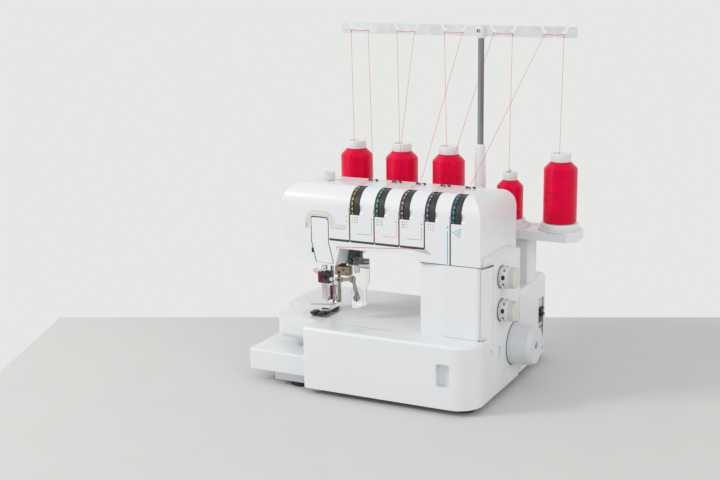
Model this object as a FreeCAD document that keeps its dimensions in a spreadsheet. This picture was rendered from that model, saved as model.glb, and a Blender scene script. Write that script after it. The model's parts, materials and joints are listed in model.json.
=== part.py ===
import FreeCAD, Part
import Sketcher
import math
import os
from types import SimpleNamespace

# A free-arm cover-stitch sewing machine with five threads, in millimetres.
# The origin is under the middle of the machine, on the table; +Z is up and the front faces -Y.

# Driving dimensions. Names that end in _x are places across the machine, counted from the middle.
DIMENSIONS = {
    # whole machine
    "overall_width": 395.0,
    "overall_depth": 274.0,
    "wall": 2.5,
    "seam_gap": 0.4,
    "running_gap": 0.05,
    "free_gap": 0.5,
    # heights above the table
    "foot_height": 8.0,
    "pan_height": 10.0,
    "ledge_top": 45.0,
    "free_arm_bottom": 58.0,
    "bed_height": 90.0,
    "column_top": 183.5,
    "head_bottom": 166.0,
    "arm_underside": 190.0,
    "arm_top_front": 270.0,
    "arm_top_back": 263.0,
    "side_cover_top": 183.5,
    "block_top": 124.0,
    # depths, counted from the front face
    "arm_setback": 35.5,
    "arm_depth": 125.5,
    "arm_split_depth": 89.5,
    "free_arm_depth": 60.5,
    "bed_depth": 161.5,
    "ledge_setback": 14.0,
    "side_seam_setback": 67.0,
    # places across
    "pan_left_x": -157.0,
    "cover_left_x": -106.0,
    "free_arm_left_x": -165.0,
    "rear_bed_left_x": -183.0,
    "head_left_x": -152.0,
    "head_foot_left_x": -131.0,
    "head_foot_right_x": -74.0,
    "underside_left_x": -68.0,
    "column_left_x": 43.0,
    "column_crease_x": 78.5,
    "arm_right_x": 127.0,
    "block_left_x": 0.0,
    "needle_x": -111.0,
    "column_step": 5.0,
    "side_bulge": 7.0,
    "shoulder_rise": 10.0,
    "shoulder_lead": 23.0,
    "shoulder_sweep": 34.0,
    "shoulder_tail": 41.0,
    "cover_standoff": 4.5,
    "cheek_lead": 21.0,
    "head_slant_height": 39.0,
    # outer roundings
    "cover_corner_round": 32.0,
    "cover_end_round": 5.0,
    "cover_top_round": 4.0,
    "arm_end_round": 27.0,
    "arm_front_round": 25.0,
    "arm_back_round": 30.0,
    "head_slant_round": 10.0,
    "free_arm_round": 10.0,
    "bed_corner_round": 8.0,
    "bed_edge_round": 1.5,
    "ledge_corner_round": 6.0,
    "column_corner_round": 5.0,
    "side_corner_round": 5.0,
    "block_corner_round": 12.0,
    "block_edge_round": 5.0,
    # base pan and feet
    "pan_wall": 3.0,
    "pan_inset": 1.0,
    "foot_radius": 14.0,
    "foot_inset": 17.0,
    "pan_front_round": 25.0,
    "foot_left_inset": 31.0,
    # front cover
    "tab_right_x": -56.0,
    "tab_depth": 13.0,
    "grip_left_x": 83.0,
    "grip_width": 18.5,
    "grip_bottom": 36.0,
    "grip_height": 30.0,
    "grip_depth": 8.0,
    "grip_round": 4.0,
    "hinge_setback": 8.0,
    "hinge_rise": 6.0,
    "hinge_rod_radius": 2.0,
    "hinge_knuckle_radius": 4.5,
    "hinge_lug_length": 8.0,
    "hinge_lug_inset": 6.0,
    "hinge_lug_right_inset": 35.0,
    "hinge_knuckle_gap": 8.0,
    "cover_swing_gap": 0.8,
    # needle plate, feed and looper
    "plate_left_reach": 24.0,
    "plate_right_reach": 14.0,
    "plate_length": 43.0,
    "plate_thickness": 2.5,
    "needle_setback": 36.5,
    "needle_pitch": 3.0,
    "needle_radius": 0.6,
    "feed_offset": 9.0,
    "feed_bar_width": 3.0,
    "feed_length": 9.0,
    "feed_bar_length": 35.0,
    "feed_travel": 2.0,
    "looper_x": -96.0,
    "looper_height": 68.0,
    # needle bar and presser
    "needle_bar_radius": 3.5,
    "needle_stroke": 31.0,
    "needle_tip_height": 106.0,
    "clamp_bottom": 133.0,
    "clamp_height": 16.0,
    "clamp_width": 16.0,
    "clamp_depth": 12.0,
    "needle_bar_top": 261.0,
    "presser_offset": 20.0,
    "presser_bar_radius": 3.0,
    "presser_lift": 6.0,
    "spring_length": 13.0,
    "upper_guide_height": 204.0,
    "ankle_width": 13.0,
    "ankle_depth": 14.0,
    "ankle_bottom": 101.0,
    "ankle_top": 129.0,
    "sole_gap": 0.3,
    "foot_width": 20.0,
    "foot_toe_reach": 23.0,
    "foot_heel_reach": 24.0,
    "foot_sole": 4.0,
    # upper shaft and crank
    "upper_shaft_drop": 30.0,
    "upper_shaft_setback": 73.5,
    "upper_shaft_radius": 5.0,
    "crank_disc_radius": 19.0,
    "crank_disc_width": 5.0,
    "crank_pin_radius": 2.5,
    "yoke_width": 4.0,
    "yoke_offset": 7.5,
    "bush_wall": 3.0,
    "bush_length": 10.0,
    # lower shaft, handwheel and drive
    "main_shaft_inset": 22.0,
    "main_shaft_height": 59.0,
    "main_shaft_radius": 6.0,
    "handwheel_radius": 28.0,
    "handwheel_front_radius": 26.0,
    "handwheel_length": 32.0,
    "main_pulley_radius": 26.0,
    "timing_pulley_radius": 12.0,
    "motor_pulley_radius": 8.0,
    "pulley_width": 10.0,
    "drive_pulley_x": 86.0,
    "timing_pulley_x": 110.5,
    "belt_thickness": 1.6,
    "belt_width": 8.0,
    "motor_inset": 52.0,
    "motor_height": 62.0,
    "motor_radius": 26.0,
    "motor_length": 70.0,
    "motor_shaft_radius": 3.0,
    # machine frame
    "post_left_x": 52.0,
    "post_width": 28.0,
    "head_plate_offset": 8.0,
    "head_plate_thickness": 5.0,
    "lever_height": 205.0,
    "lever_radius": 6.0,
    "lever_pin_radius": 2.5,
    "lever_reach": 40.0,
    # tension dials
    "dial_first_x": -52.0,
    "dial_pitch": 34.9,
    "dial_window_width": 14.2,
    "dial_width": 13.0,
    "dial_radius": 24.3,
    "dial_setback": 23.3,
    "dial_drop": 26.0,
    "dial_spindle_radius": 3.0,
    "groove_width": 1.3,
    "groove_depth": 1.6,
    "slot_height": 200.7,
    "slot_width": 3.0,
    "slot_left_x": -83.0,
    "slot_right_x": 52.7,
    "slot_web": 1.2,
    # take-up cover on the head
    "tongue_top": 228.5,
    "tongue_knee": 195.0,
    "tongue_x": -96.0,
    "tongue_width": 24.5,
    "tongue_lean": 6.6,
    "tongue_thickness": 3.0,
    "tongue_gap": 0.8,
    # knobs on the side and top
    "stitch_dial_radius": 14.0,
    "stitch_dial_length": 21.0,
    "stitch_dial_setback": 55.5,
    "length_dial_height": 160.5,
    "feed_dial_height": 117.0,
    "dial_stub_radius": 4.0,
    "knob_radius": 7.0,
    "knob_height": 10.0,
    "knob_screw_radius": 3.0,
    # spool stand
    "tray_setback": 56.0,
    "tray_left_x": -168.0,
    "tray_depth": 52.0,
    "tray_top": 200.0,
    "tray_thickness": 12.5,
    "tray_end_chamfer": 11.0,
    "stem_left_x": 38.0,
    "stem_right_x": 132.0,
    "stem_depth": 32.0,
    "spool_first_x": -136.6,
    "spool_pitch": 71.4,
    "spool_fourth_x": 96.8,
    "cushion_radius": 28.5,
    "cushion_height": 3.5,
    "spool_pin_radius": 2.6,
    "core_radius": 9.0,
    "big_spool_radius": 22.5,
    "big_spool_height": 85.0,
    "big_cap_radius": 14.0,
    "big_cap_height": 12.0,
    "small_spool_radius": 18.0,
    "small_spool_height": 55.0,
    "small_cap_radius": 10.0,
    "small_cap_height": 7.0,
    "mast_x": 53.2,
    "sleeve_top": 308.0,
    "sleeve_foot_radius": 8.75,
    "sleeve_top_radius": 7.0,
    "mast_radius": 4.15,
    "mast_travel": 135.0,
    "mast_overlap": 22.0,
    "rail_left_x": -157.0,
    "rail_right_x": 186.3,
    "rail_bottom": 452.5,
    "rail_height": 14.5,
    "rail_thickness": 1.2,
    "rail_end_round": 4.0,
    "boss_radius": 6.5,
    "boss_height": 16.0,
    "notch_first_x": -128.8,
    "notch_pitch": 71.1,
    "notch_reach": 13.3,
    "notch_lean": 5.5,
    "notch_eye_radius": 2.2,
    # switch panel
    "panel_width": 20.0,
    "panel_inset": 4.0,
    "panel_bottom": 15.0,
    "panel_top": 92.0,
    "panel_thickness": 3.0,
    "rocker_height": 68.0,
    "rocker_length": 21.0,
    "rocker_width": 13.0,
    "inlet_height": 36.0,
    "inlet_length": 24.0,
    "inlet_width": 15.0,
    # spreader and guard beside the needles
    "bracket_left_x": -66.0,
    "bracket_width": 18.0,
    "bracket_bottom": 152.0,
    "spreader_x": -89.0,
    "spreader_radius": 2.0,
    "spreader_tip_height": 107.0,
    "guard_left_x": -70.0,
    "guard_right_x": -35.0,
    "guard_bottom": 104.0,
    "guard_top": 174.0,
    "guard_thickness": 1.5,
    # threads
    "thread_radius": 0.2,
}

doc = FreeCAD.newDocument("cover_stitch_machine")
sheet = doc.addObject("Spreadsheet::Sheet", "Sizes")


class Size:
    # A length that carries its value and the spreadsheet formula behind it.
    def __init__(self, text, value):
        self.text = text
        self.value = value

    def __add__(self, other):
        other = as_size(other)
        return Size("(%s + %s)" % (self.text, other.text), self.value + other.value)

    def __sub__(self, other):
        other = as_size(other)
        return Size("(%s - %s)" % (self.text, other.text), self.value - other.value)

    def __mul__(self, other):
        other = as_size(other)
        return Size("(%s * %s)" % (self.text, other.text), self.value * other.value)

    def __truediv__(self, other):
        other = as_size(other)
        return Size("(%s / %s)" % (self.text, other.text), self.value / other.value)

    def __neg__(self):
        return as_size(0) - self

    def __radd__(self, other):
        return as_size(other) + self

    def __rsub__(self, other):
        return as_size(other) - self

    def __rmul__(self, other):
        return as_size(other) * self


def as_size(number):
    if isinstance(number, Size):
        return number
    return Size("(%r)" % float(number), float(number))


def fill_sheet():
    sizes = {}
    for row, (name, value) in enumerate(DIMENSIONS.items(), 1):
        sheet.set("A%d" % row, name)
        sheet.set("B%d" % row, str(value))
        sheet.setAlias("B%d" % row, name)
        sizes[name] = Size("Sizes." + name, value)
    doc.recompute()
    return SimpleNamespace(**sizes)


s = fill_sheet()
nodes = {}
TURNS = {
    "x": FreeCAD.Rotation(FreeCAD.Vector(0, 1, 0), 90),
    "y": FreeCAD.Rotation(FreeCAD.Vector(1, 0, 0), -90),
    "z": FreeCAD.Rotation(),
}
PLANE_AXES = {"XY_Plane": (0, 1), "XZ_Plane": (0, 2), "YZ_Plane": (1, 2)}
TOLERANCE = 0.001


def bind(part, prop, length):
    part.setExpression(prop, as_size(length).text)


def place(part, point, axis="z"):
    part.Placement = FreeCAD.Placement(FreeCAD.Vector(), TURNS[axis])
    for letter, length in zip("xyz", point):
        bind(part, "Placement.Base." + letter, length)


def node(label, part):
    part.Label = label
    nodes[label] = part
    return part


def box(name, x, y, z):
    part = doc.addObject("Part::Box", name)
    for prop, span in (("Length", x), ("Width", y), ("Height", z)):
        bind(part, prop, span[1] - span[0])
    place(part, (x[0], y[0], z[0]))
    return part


def rod(name, axis, start, radius, length):
    part = doc.addObject("Part::Cylinder", name)
    bind(part, "Radius", radius)
    bind(part, "Height", length)
    place(part, start, axis)
    return part


def ball(name, centre, radius):
    part = doc.addObject("Part::Sphere", name)
    bind(part, "Radius", radius)
    place(part, centre)
    return part


def cut(name, base, *tools):
    part = doc.addObject("Part::Cut", name)
    part.Base = base
    part.Tool = tools[0] if len(tools) == 1 else group(name + "_tools", *tools)
    return part


def fuse(name, *parts):
    part = doc.addObject("Part::MultiFuse", name)
    part.Shapes = list(parts)
    part.Refine = True
    return part


def common(name, first, second):
    part = doc.addObject("Part::Common", name)
    part.Base = first
    part.Tool = second
    return part


def group(name, *parts):
    part = doc.addObject("Part::Compound", name)
    part.Links = list(parts)
    return part


def outline(body, plane, points, offset):
    # A closed outline whose corners are held by distances from the sketch's origin.
    sketch = body.newObject("Sketcher::SketchObject", body.Name + "_outline")
    support = [item for item in body.Origin.OriginFeatures if item.Role == plane][0]
    sketch.AttachmentSupport = [(support, "")]
    sketch.MapMode = "FlatFace"
    bind(sketch, "AttachmentOffset.Base.z", offset)
    corners = [(as_size(across), as_size(up)) for across, up in points]
    spots = [FreeCAD.Vector(across.value, up.value, 0) for across, up in corners]
    for index, spot in enumerate(spots):
        sketch.addGeometry(Part.LineSegment(spot, spots[(index + 1) % len(spots)]), False)
    for index in range(len(spots)):
        following = (index + 1) % len(spots)
        sketch.addConstraint(Sketcher.Constraint("Coincident", index, 2, following, 1))
    for index, corner in enumerate(corners):
        for kind, length in zip(("DistanceX", "DistanceY"), corner):
            constraint = Sketcher.Constraint(kind, -1, 1, index, 1, length.value)
            number = sketch.addConstraint(constraint)
            bind(sketch, "Constraints[%d]" % number, length)
    return sketch


def soften(body, radius, wanted):
    # Round the body's edges that the test picks.
    doc.recompute()
    names = ["Edge%d" % (index + 1) for index, edge in enumerate(body.Shape.Edges) if wanted(edge)]
    feature = body.newObject("PartDesign::Fillet", body.Name + "_round")
    feature.Base = (body.Tip if body.Tip != feature else feature.BaseFeature, names)
    bind(feature, "Radius", radius)
    doc.recompute()
    return body


def prism(name, plane, points, span, rounds=()):
    # An outline drawn on a main plane and padded between two places along its normal.
    body = doc.addObject("PartDesign::Body", name)
    offset = -as_size(span[1]) if plane == "XZ_Plane" else as_size(span[0])
    sketch = outline(body, plane, points, offset)
    pad = body.newObject("PartDesign::Pad", name + "_pad")
    pad.Profile = sketch
    bind(pad, "Length", span[1] - span[0])
    first, second = PLANE_AXES[plane]
    for index, radius in rounds:
        across, up = (as_size(length).value for length in points[index])

        def at_corner(edge):
            return all(
                abs(vertex.Point[first] - across) < TOLERANCE and abs(vertex.Point[second] - up) < TOLERANCE
                for vertex in edge.Vertexes
            )

        soften(body, radius, at_corner)
    return body


def turned(name, axis, start, profile):
    # A profile of (radius, distance along) spun about an axis.
    body = doc.addObject("PartDesign::Body", name)
    sketch = outline(body, "XZ_Plane", profile, 0)
    spin = body.newObject("PartDesign::Revolution", name + "_spin")
    spin.Profile = sketch
    spin.ReferenceAxis = (sketch, ["V_Axis"])
    spin.Angle = 360
    place(body, start, axis)
    return body


def level(edge, axis, place_at):
    return all(abs(vertex.Point[axis] - place_at.value) < TOLERANCE for vertex in edge.Vertexes)


# Main planes of the machine
left = -s.overall_width / 2
right = s.overall_width / 2
front = -s.overall_depth / 2
back = s.overall_depth / 2
arm_front = front + s.arm_setback
arm_back = arm_front + s.arm_depth
arm_split = arm_front + s.arm_split_depth
free_arm_back = arm_front + s.free_arm_depth
bed_back = arm_front + s.bed_depth
ledge_front = front + s.ledge_setback
side_seam = front + s.side_seam_setback
strip_back = arm_front - s.seam_gap
tab_back = arm_front + s.tab_depth
tail_inside = s.arm_right_x + s.cover_standoff
body_right = tail_inside + s.wall
side_face = s.arm_right_x + s.side_bulge
block_right = side_face
pan_top = s.foot_height + s.pan_height
pan_floor = s.foot_height + s.pan_wall
needle_y = arm_front + s.needle_setback
presser_y = needle_y + s.presser_offset
upper_shaft_y = arm_front + s.upper_shaft_setback
upper_shaft_z = s.arm_top_front - s.upper_shaft_drop
main_shaft_y = arm_back - s.main_shaft_inset
motor_y = back - s.motor_inset
stitch_dial_y = arm_front + s.stitch_dial_setback
tray_row_y = arm_back + s.tray_setback
top_slope = (s.arm_top_back - s.arm_top_front) / s.arm_depth


def arm_top(y):
    return s.arm_top_front + top_slope * (y - arm_front)


# Base pan with its hinge lugs, and the rubber feet
hinge_y = front + s.hinge_setback
hinge_z = s.foot_height + s.hinge_rise
pan_back = back - s.wall - s.pan_inset
lug_left = s.cover_left_x + s.hinge_lug_inset
lug_right = s.arm_right_x - s.hinge_lug_right_inset


def hinge_lug(name, start, rear_y):
    barrel = rod(
        name + "_barrel", "x", (start, hinge_y, hinge_z), s.hinge_knuckle_radius, s.hinge_lug_length
    )
    reach = sorted((hinge_y, rear_y), key=lambda length: length.value)
    height = s.hinge_knuckle_radius - s.free_gap
    web = box(
        name + "_web", (start, start + s.hinge_lug_length), reach, (hinge_z - height, hinge_z + height)
    )
    return [barrel, web]


bed_step = s.block_left_x - s.seam_gap
block_inside = s.block_left_x + s.wall + s.pan_inset


def pan_corners(inset):
    return (
        (s.pan_left_x + inset, ledge_front + inset),
        (s.arm_right_x - inset, ledge_front + inset),
        (s.arm_right_x - inset, pan_back - inset),
        (block_inside + inset, pan_back - inset),
        (block_inside + inset, arm_back - inset),
        (bed_step - inset, arm_back - inset),
        (bed_step - inset, bed_back - inset),
        (s.pan_left_x + inset, bed_back - inset),
    )


def pan_rounds(inset):
    rear_round = s.block_corner_round - s.pan_wall - inset
    return ((1, s.pan_front_round - inset), (2, rear_round), (3, rear_round))


pan_block = prism(
    "pan_block", "XY_Plane", pan_corners(as_size(0)), (s.foot_height, pan_top), pan_rounds(as_size(0))
)
pan_hollow = prism(
    "pan_hollow", "XY_Plane", pan_corners(s.pan_wall), (pan_floor, pan_top + s.wall), pan_rounds(
        s.pan_wall,
    )
)
pan_tray = cut("pan_tray", pan_block, pan_hollow)
pan_lugs = hinge_lug("left_lug", lug_left, ledge_front) + hinge_lug("right_lug", lug_right, ledge_front)
hinge_rod = rod(
    "hinge_rod",
    "x",
    (lug_left, hinge_y, hinge_z),
    s.hinge_rod_radius,
    lug_right + s.hinge_lug_length - lug_left,
)
node("base_pan", fuse("base_pan", pan_tray, hinge_rod, *pan_lugs))

foot_left = s.pan_left_x + s.foot_left_inset
foot_right = s.arm_right_x - s.foot_inset
foot_front = ledge_front + s.foot_inset
foot_back = pan_back - s.foot_inset
foot_left_back = bed_back - s.foot_inset
feet = []
for index, spot in enumerate(
    (
        (foot_left, foot_front),
        (foot_right, foot_front),
        (foot_left, foot_left_back),
        (foot_right, foot_back),
    )
):
    profile = (
        (0, 0),
        (s.foot_radius - s.bed_edge_round, 0),
        (s.foot_radius, s.bed_edge_round),
        (s.foot_radius, s.foot_height),
        (0, s.foot_height),
    )
    feet.append(turned("foot_%d" % (index + 1), "z", (spot[0], spot[1], 0), profile))
node("rubber_feet", group("rubber_feet", *feet))

# Left ledge of the base with its upright wall and the wall behind the free arm
ledge_right = s.cover_left_x - s.seam_gap
ledge_outline = (
    (left, ledge_front),
    (ledge_right, ledge_front),
    (ledge_right, bed_back),
    (left, bed_back),
)
ledge_block = prism(
    "ledge_block",
    "XY_Plane",
    ledge_outline,
    (pan_top, s.ledge_top),
    ((0, s.ledge_corner_round), (3, s.ledge_corner_round)),
)


def ledge_rim(edge):
    return level(edge, 2, s.ledge_top) and edge.CenterOfMass.x < ledge_right.value - 1


soften(ledge_block, s.bed_edge_round, ledge_rim)
ledge_hollow = box(
    "ledge_hollow",
    (left + s.wall, s.cover_left_x),
    (ledge_front + s.wall, bed_back - s.wall),
    (pan_top + s.wall, s.ledge_top - s.wall),
)
ledge_shell = cut("ledge_shell", ledge_block, ledge_hollow)
upright_top = s.free_arm_bottom - s.seam_gap
upright = box(
    "ledge_upright", (ledge_right - s.wall, ledge_right), (arm_front, bed_back), (pan_top, upright_top)
)
rear_wall = box(
    "base_rear_wall",
    (ledge_right - s.wall, s.block_left_x - s.seam_gap),
    (bed_back - s.wall, bed_back),
    (pan_top, upright_top),
)
node("base_ledge", fuse("base_ledge", ledge_shell, upright, rear_wall))

# Front cover: a wrap-round shell with a grip recess, hinged at its lower edge
tail_end = side_seam - s.cover_swing_gap
cover_outline = (
    (s.cover_left_x, front),
    (body_right, front),
    (body_right, tail_end),
    (tail_inside, tail_end),
    (tail_inside, strip_back),
    (s.cover_left_x, strip_back),
)
cover_block = prism(
    "cover_block",
    "XY_Plane",
    cover_outline,
    (s.foot_height, s.bed_height),
    ((1, s.cover_corner_round), (0, s.cover_end_round)),
)


def cover_rim(edge):
    middle = edge.CenterOfMass
    outside = middle.y < strip_back.value - TOLERANCE or middle.x > tail_inside.value + TOLERANCE
    end_face = level(edge, 1, tail_end)
    return level(edge, 2, s.bed_height) and outside and not end_face and not level(edge, 0, tail_inside)


soften(cover_block, s.cover_top_round, cover_rim)
cavity_outline = (
    (s.cover_left_x + s.wall, front + s.wall),
    (tail_inside, front + s.wall),
    (tail_inside, arm_front + s.wall),
    (s.cover_left_x + s.wall, arm_front + s.wall),
)
cover_cavity = prism(
    "cover_cavity",
    "XY_Plane",
    cavity_outline,
    (s.foot_height - s.wall, s.bed_height - s.wall),
    ((1, s.cover_corner_round - s.wall),),
)
pan_notch = box(
    "pan_notch",
    (s.cover_left_x - s.wall, s.cover_left_x + 2 * s.wall),
    (hinge_y - s.hinge_rod_radius, arm_front),
    (s.foot_height - s.wall, pan_top + s.free_gap),
)
cover_shell = cut("cover_shell", cover_block, cover_cavity, pan_notch)
cover_tab = box(
    "cover_tab",
    (s.cover_left_x, s.tab_right_x),
    (strip_back - s.wall, tab_back),
    (s.bed_height - s.wall, s.bed_height),
)
knuckle_left = lug_left + s.hinge_lug_length + s.hinge_knuckle_gap
knuckle_right = lug_right - s.hinge_lug_length - s.hinge_knuckle_gap
knuckle_rear = front + s.wall / 2
knuckles = hinge_lug("left_knuckle", knuckle_left, knuckle_rear)
knuckles += hinge_lug("right_knuckle", knuckle_right, knuckle_rear)
grip_right = s.grip_left_x + s.grip_width
grip_top = s.grip_bottom + s.grip_height
grip_cup = box(
    "grip_cup",
    (s.grip_left_x - s.wall, grip_right + s.wall),
    (front + s.wall / 2, front + s.grip_depth + s.wall),
    (s.grip_bottom - s.wall, grip_top + s.wall),
)
grip_corners = (
    (s.grip_left_x, s.grip_bottom),
    (grip_right, s.grip_bottom),
    (grip_right, grip_top),
    (s.grip_left_x, grip_top),
)
grip_recess = prism(
    "grip_recess",
    "XZ_Plane",
    grip_corners,
    (front - s.wall, front + s.grip_depth),
    [(index, s.grip_round) for index in range(4)],
)
cover_bore = rod(
    "cover_bore",
    "x",
    (knuckle_left - s.free_gap, hinge_y, hinge_z),
    s.hinge_rod_radius + s.running_gap,
    knuckle_right + s.hinge_lug_length + 2 * s.free_gap - knuckle_left,
)
cover_joined = fuse("cover_joined", cover_shell, cover_tab, grip_cup, *knuckles)
# The tail swings under the column cheek, so its top follows a circle about the hinge.
swing_radius = s.bed_height - hinge_z
cheek_back = side_seam - s.seam_gap
cheek_bend = cheek_back - s.wall * 3.4
cheek_front = cheek_bend - s.cheek_lead
relief_front = cheek_bend - s.wall * 3.4
tail_block = box(
    "tail_block",
    (tail_inside - s.free_gap, body_right + s.wall),
    (relief_front, tail_end + s.wall),
    (hinge_z, s.bed_height + s.wall),
)
tail_circle = rod(
    "tail_circle", "x", (tail_inside - s.wall, hinge_y, hinge_z), swing_radius, 4 * s.wall
)
tail_relief = cut("tail_relief", tail_block, tail_circle)
node("front_cover", cut("front_cover", cover_joined, grip_recess, cover_bore, tail_relief))

# Bed casing: the free arm and the bed behind it, open below and towards the column
bed_right = s.column_left_x - s.seam_gap


def bed_corners(inset, right_edge):
    return (
        (s.free_arm_left_x + inset, arm_front + inset),
        (right_edge, arm_front + inset),
        (right_edge, arm_back - inset),
        (bed_step - inset, arm_back - inset),
        (bed_step - inset, bed_back - inset),
        (s.rear_bed_left_x + inset, bed_back - inset),
        (s.rear_bed_left_x + inset, free_arm_back + inset),
        (s.free_arm_left_x + inset, free_arm_back + inset),
    )


bed_block = prism(
    "bed_block",
    "XY_Plane",
    bed_corners(as_size(0), bed_right),
    (s.free_arm_bottom, s.bed_height),
    ((0, s.bed_corner_round), (5, s.bed_corner_round), (6, s.bed_edge_round)),
)


def free_arm_keel(edge):
    long_edge = level(edge, 1, arm_front) and edge.Length > s.bed_corner_round.value
    return level(edge, 2, s.free_arm_bottom) and long_edge


soften(bed_block, s.free_arm_round, free_arm_keel)
bed_hollow = prism(
    "bed_hollow",
    "XY_Plane",
    bed_corners(s.wall, s.column_left_x),
    (s.free_arm_bottom + s.wall, s.bed_height - s.wall),
)
keel_fill = box(
    "keel_fill",
    (s.free_arm_left_x, s.column_left_x),
    (arm_front, arm_front + s.free_arm_round),
    (s.free_arm_bottom, s.free_arm_bottom + s.free_arm_round),
)
bed_room = cut("bed_room", bed_hollow, keel_fill)
bed_belly = box(
    "bed_belly",
    (s.cover_left_x + s.wall, s.column_left_x),
    (arm_front + s.free_arm_round, arm_back - s.wall),
    (s.free_arm_bottom - s.wall, s.free_arm_bottom + 2 * s.wall),
)
plate_left = s.needle_x - s.plate_left_reach
plate_right = s.needle_x + s.plate_right_reach
plate_front = tab_back + s.seam_gap
plate_back = plate_front + s.plate_length
plate_opening = box(
    "plate_opening",
    (plate_left - s.seam_gap, plate_right + s.seam_gap),
    (tab_back, plate_back + s.seam_gap),
    (s.bed_height - 2 * s.wall, s.bed_height + s.wall),
)
tab_notch = box(
    "tab_notch",
    (s.cover_left_x - s.seam_gap, s.tab_right_x + s.seam_gap),
    (arm_front - s.wall, tab_back + s.seam_gap),
    (s.bed_height - s.wall - s.free_gap, s.bed_height + s.wall),
)
node("bed_casing", cut("bed_casing", bed_block, bed_room, bed_belly, plate_opening, tab_notch))

# Needle plate with the needle slot and two feed slots
feed_front = needle_y + 2 * s.feed_travel + s.needle_pitch
plate_blank = box(
    "plate_blank", (plate_left, plate_right), (plate_front, plate_back), (
        s.bed_height - s.plate_thickness, s.bed_height
    )
)
plate_depth = (s.bed_height - 2 * s.plate_thickness, s.bed_height + s.plate_thickness)
needle_slot = box(
    "needle_slot",
    (s.needle_x - 1.5 * s.needle_pitch, s.needle_x + 1.5 * s.needle_pitch),
    (needle_y - s.needle_pitch / 2, needle_y + s.needle_pitch / 2),
    plate_depth,
)
plate_cuts = [needle_slot]
for side, sign in (("left", -1), ("right", 1)):
    middle = s.needle_x + sign * s.feed_offset
    half_slot = s.feed_bar_width / 2 + s.free_gap
    slot = box(
        side + "_feed_slot",
        (middle - half_slot, middle + half_slot),
        (
            feed_front - s.feed_travel - s.free_gap,
            feed_front + s.feed_length + s.feed_travel + s.free_gap,
        ),
        plate_depth,
    )
    plate_cuts.append(slot)
node("needle_plate", cut("needle_plate", plate_blank, *plate_cuts))

# Feed dog: two toothed bars on a carrier that slides on the frame
carrier_top = s.bed_height - s.plate_thickness - 3 * s.wall
carrier_bottom = carrier_top - s.feed_bar_width
carrier_reach = s.feed_offset + s.feed_bar_width / 2
carrier = box(
    "feed_carrier",
    (s.needle_x - carrier_reach, s.needle_x + carrier_reach),
    (feed_front, feed_front + s.feed_length),
    (carrier_bottom, carrier_top),
)
feed_bar_back = feed_front + s.feed_bar_length
feed_bar = box(
    "feed_bar",
    (s.needle_x - s.feed_bar_width, s.needle_x + s.feed_bar_width),
    (feed_front + s.feed_length / 2, feed_bar_back),
    (carrier_bottom, carrier_top),
)
feed_parts = [carrier, feed_bar]
for side, sign in (("left", -1), ("right", 1)):
    middle = s.needle_x + sign * s.feed_offset
    feed_parts.append(
        box(
            side + "_feed_teeth",
            (middle - s.feed_bar_width / 2, middle + s.feed_bar_width / 2),
            (feed_front, feed_front + s.feed_length),
            (carrier_bottom, s.bed_height - s.sole_gap),
        )
    )
node("feed_dog", fuse("feed_dog", *feed_parts))

# Column cover between the bed and the arm
column_outline = (
    (s.column_left_x, arm_front + s.column_step),
    (s.column_crease_x, arm_front),
    (s.arm_right_x, arm_front),
    (s.arm_right_x, arm_back),
    (s.column_left_x, arm_back),
)
column_span = (s.bed_height, s.column_top - s.seam_gap)
column_block = prism(
    "column_block",
    "XY_Plane",
    column_outline,
    column_span,
    ((0, s.column_corner_round), (2, s.column_corner_round)),
)
column_room_outline = (
    (s.column_left_x + s.wall, arm_front + s.column_step + s.wall),
    (s.column_crease_x, arm_front + s.wall),
    (s.arm_right_x - s.wall, arm_front + s.wall),
    (s.arm_right_x - s.wall, arm_back - s.wall),
    (s.column_left_x + s.wall, arm_back - s.wall),
)
column_room = prism(
    "column_room", "XY_Plane", column_room_outline, (s.bed_height - s.wall, s.column_top + s.wall)
)
toe_outline = (
    (s.column_left_x, arm_front),
    (s.column_crease_x, arm_front),
    (s.column_crease_x, arm_front + s.wall),
    (s.column_left_x, arm_front + s.column_step + s.wall),
)
column_toe = prism("column_toe", "XY_Plane", toe_outline, (s.bed_height - s.wall, s.bed_height))
node("column_cover", fuse("column_cover", cut("column_shell", column_block, column_room), column_toe))

# Right side cover with holes for the two stitch dials and the handwheel shaft
side_left = s.arm_right_x + s.seam_gap
side_outline = (
    (side_left, side_seam),
    (side_face, side_seam),
    (side_face, arm_back),
    (side_left, arm_back),
)
side_block = prism(
    "side_block",
    "XY_Plane",
    side_outline,
    (s.foot_height, s.side_cover_top),
    ((1, s.side_corner_round), (2, s.wall)),
)
soften(
    side_block,
    s.wall,
    lambda edge: level(edge, 2, s.side_cover_top) and edge.CenterOfMass.x > side_left.value + 1,
)
side_room = box(
    "side_room",
    (side_left - s.wall, side_face - s.wall),
    (side_seam + s.wall, arm_back - s.wall),
    (s.foot_height - s.wall, s.side_cover_top - s.wall),
)
stub_bores = []
for name, height in (("length_bore", s.length_dial_height), ("feed_bore", s.feed_dial_height)):
    stub_bores.append(
        rod(
            name,
            "x",
            (side_left, stitch_dial_y, height),
            s.dial_stub_radius + s.running_gap,
            s.side_bulge,
        )
    )
shaft_hole = rod(
    "wheel_hole",
    "x",
    (side_left, main_shaft_y, s.main_shaft_height),
    s.main_shaft_radius + 2 * s.free_gap,
    s.side_bulge,
)
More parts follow.
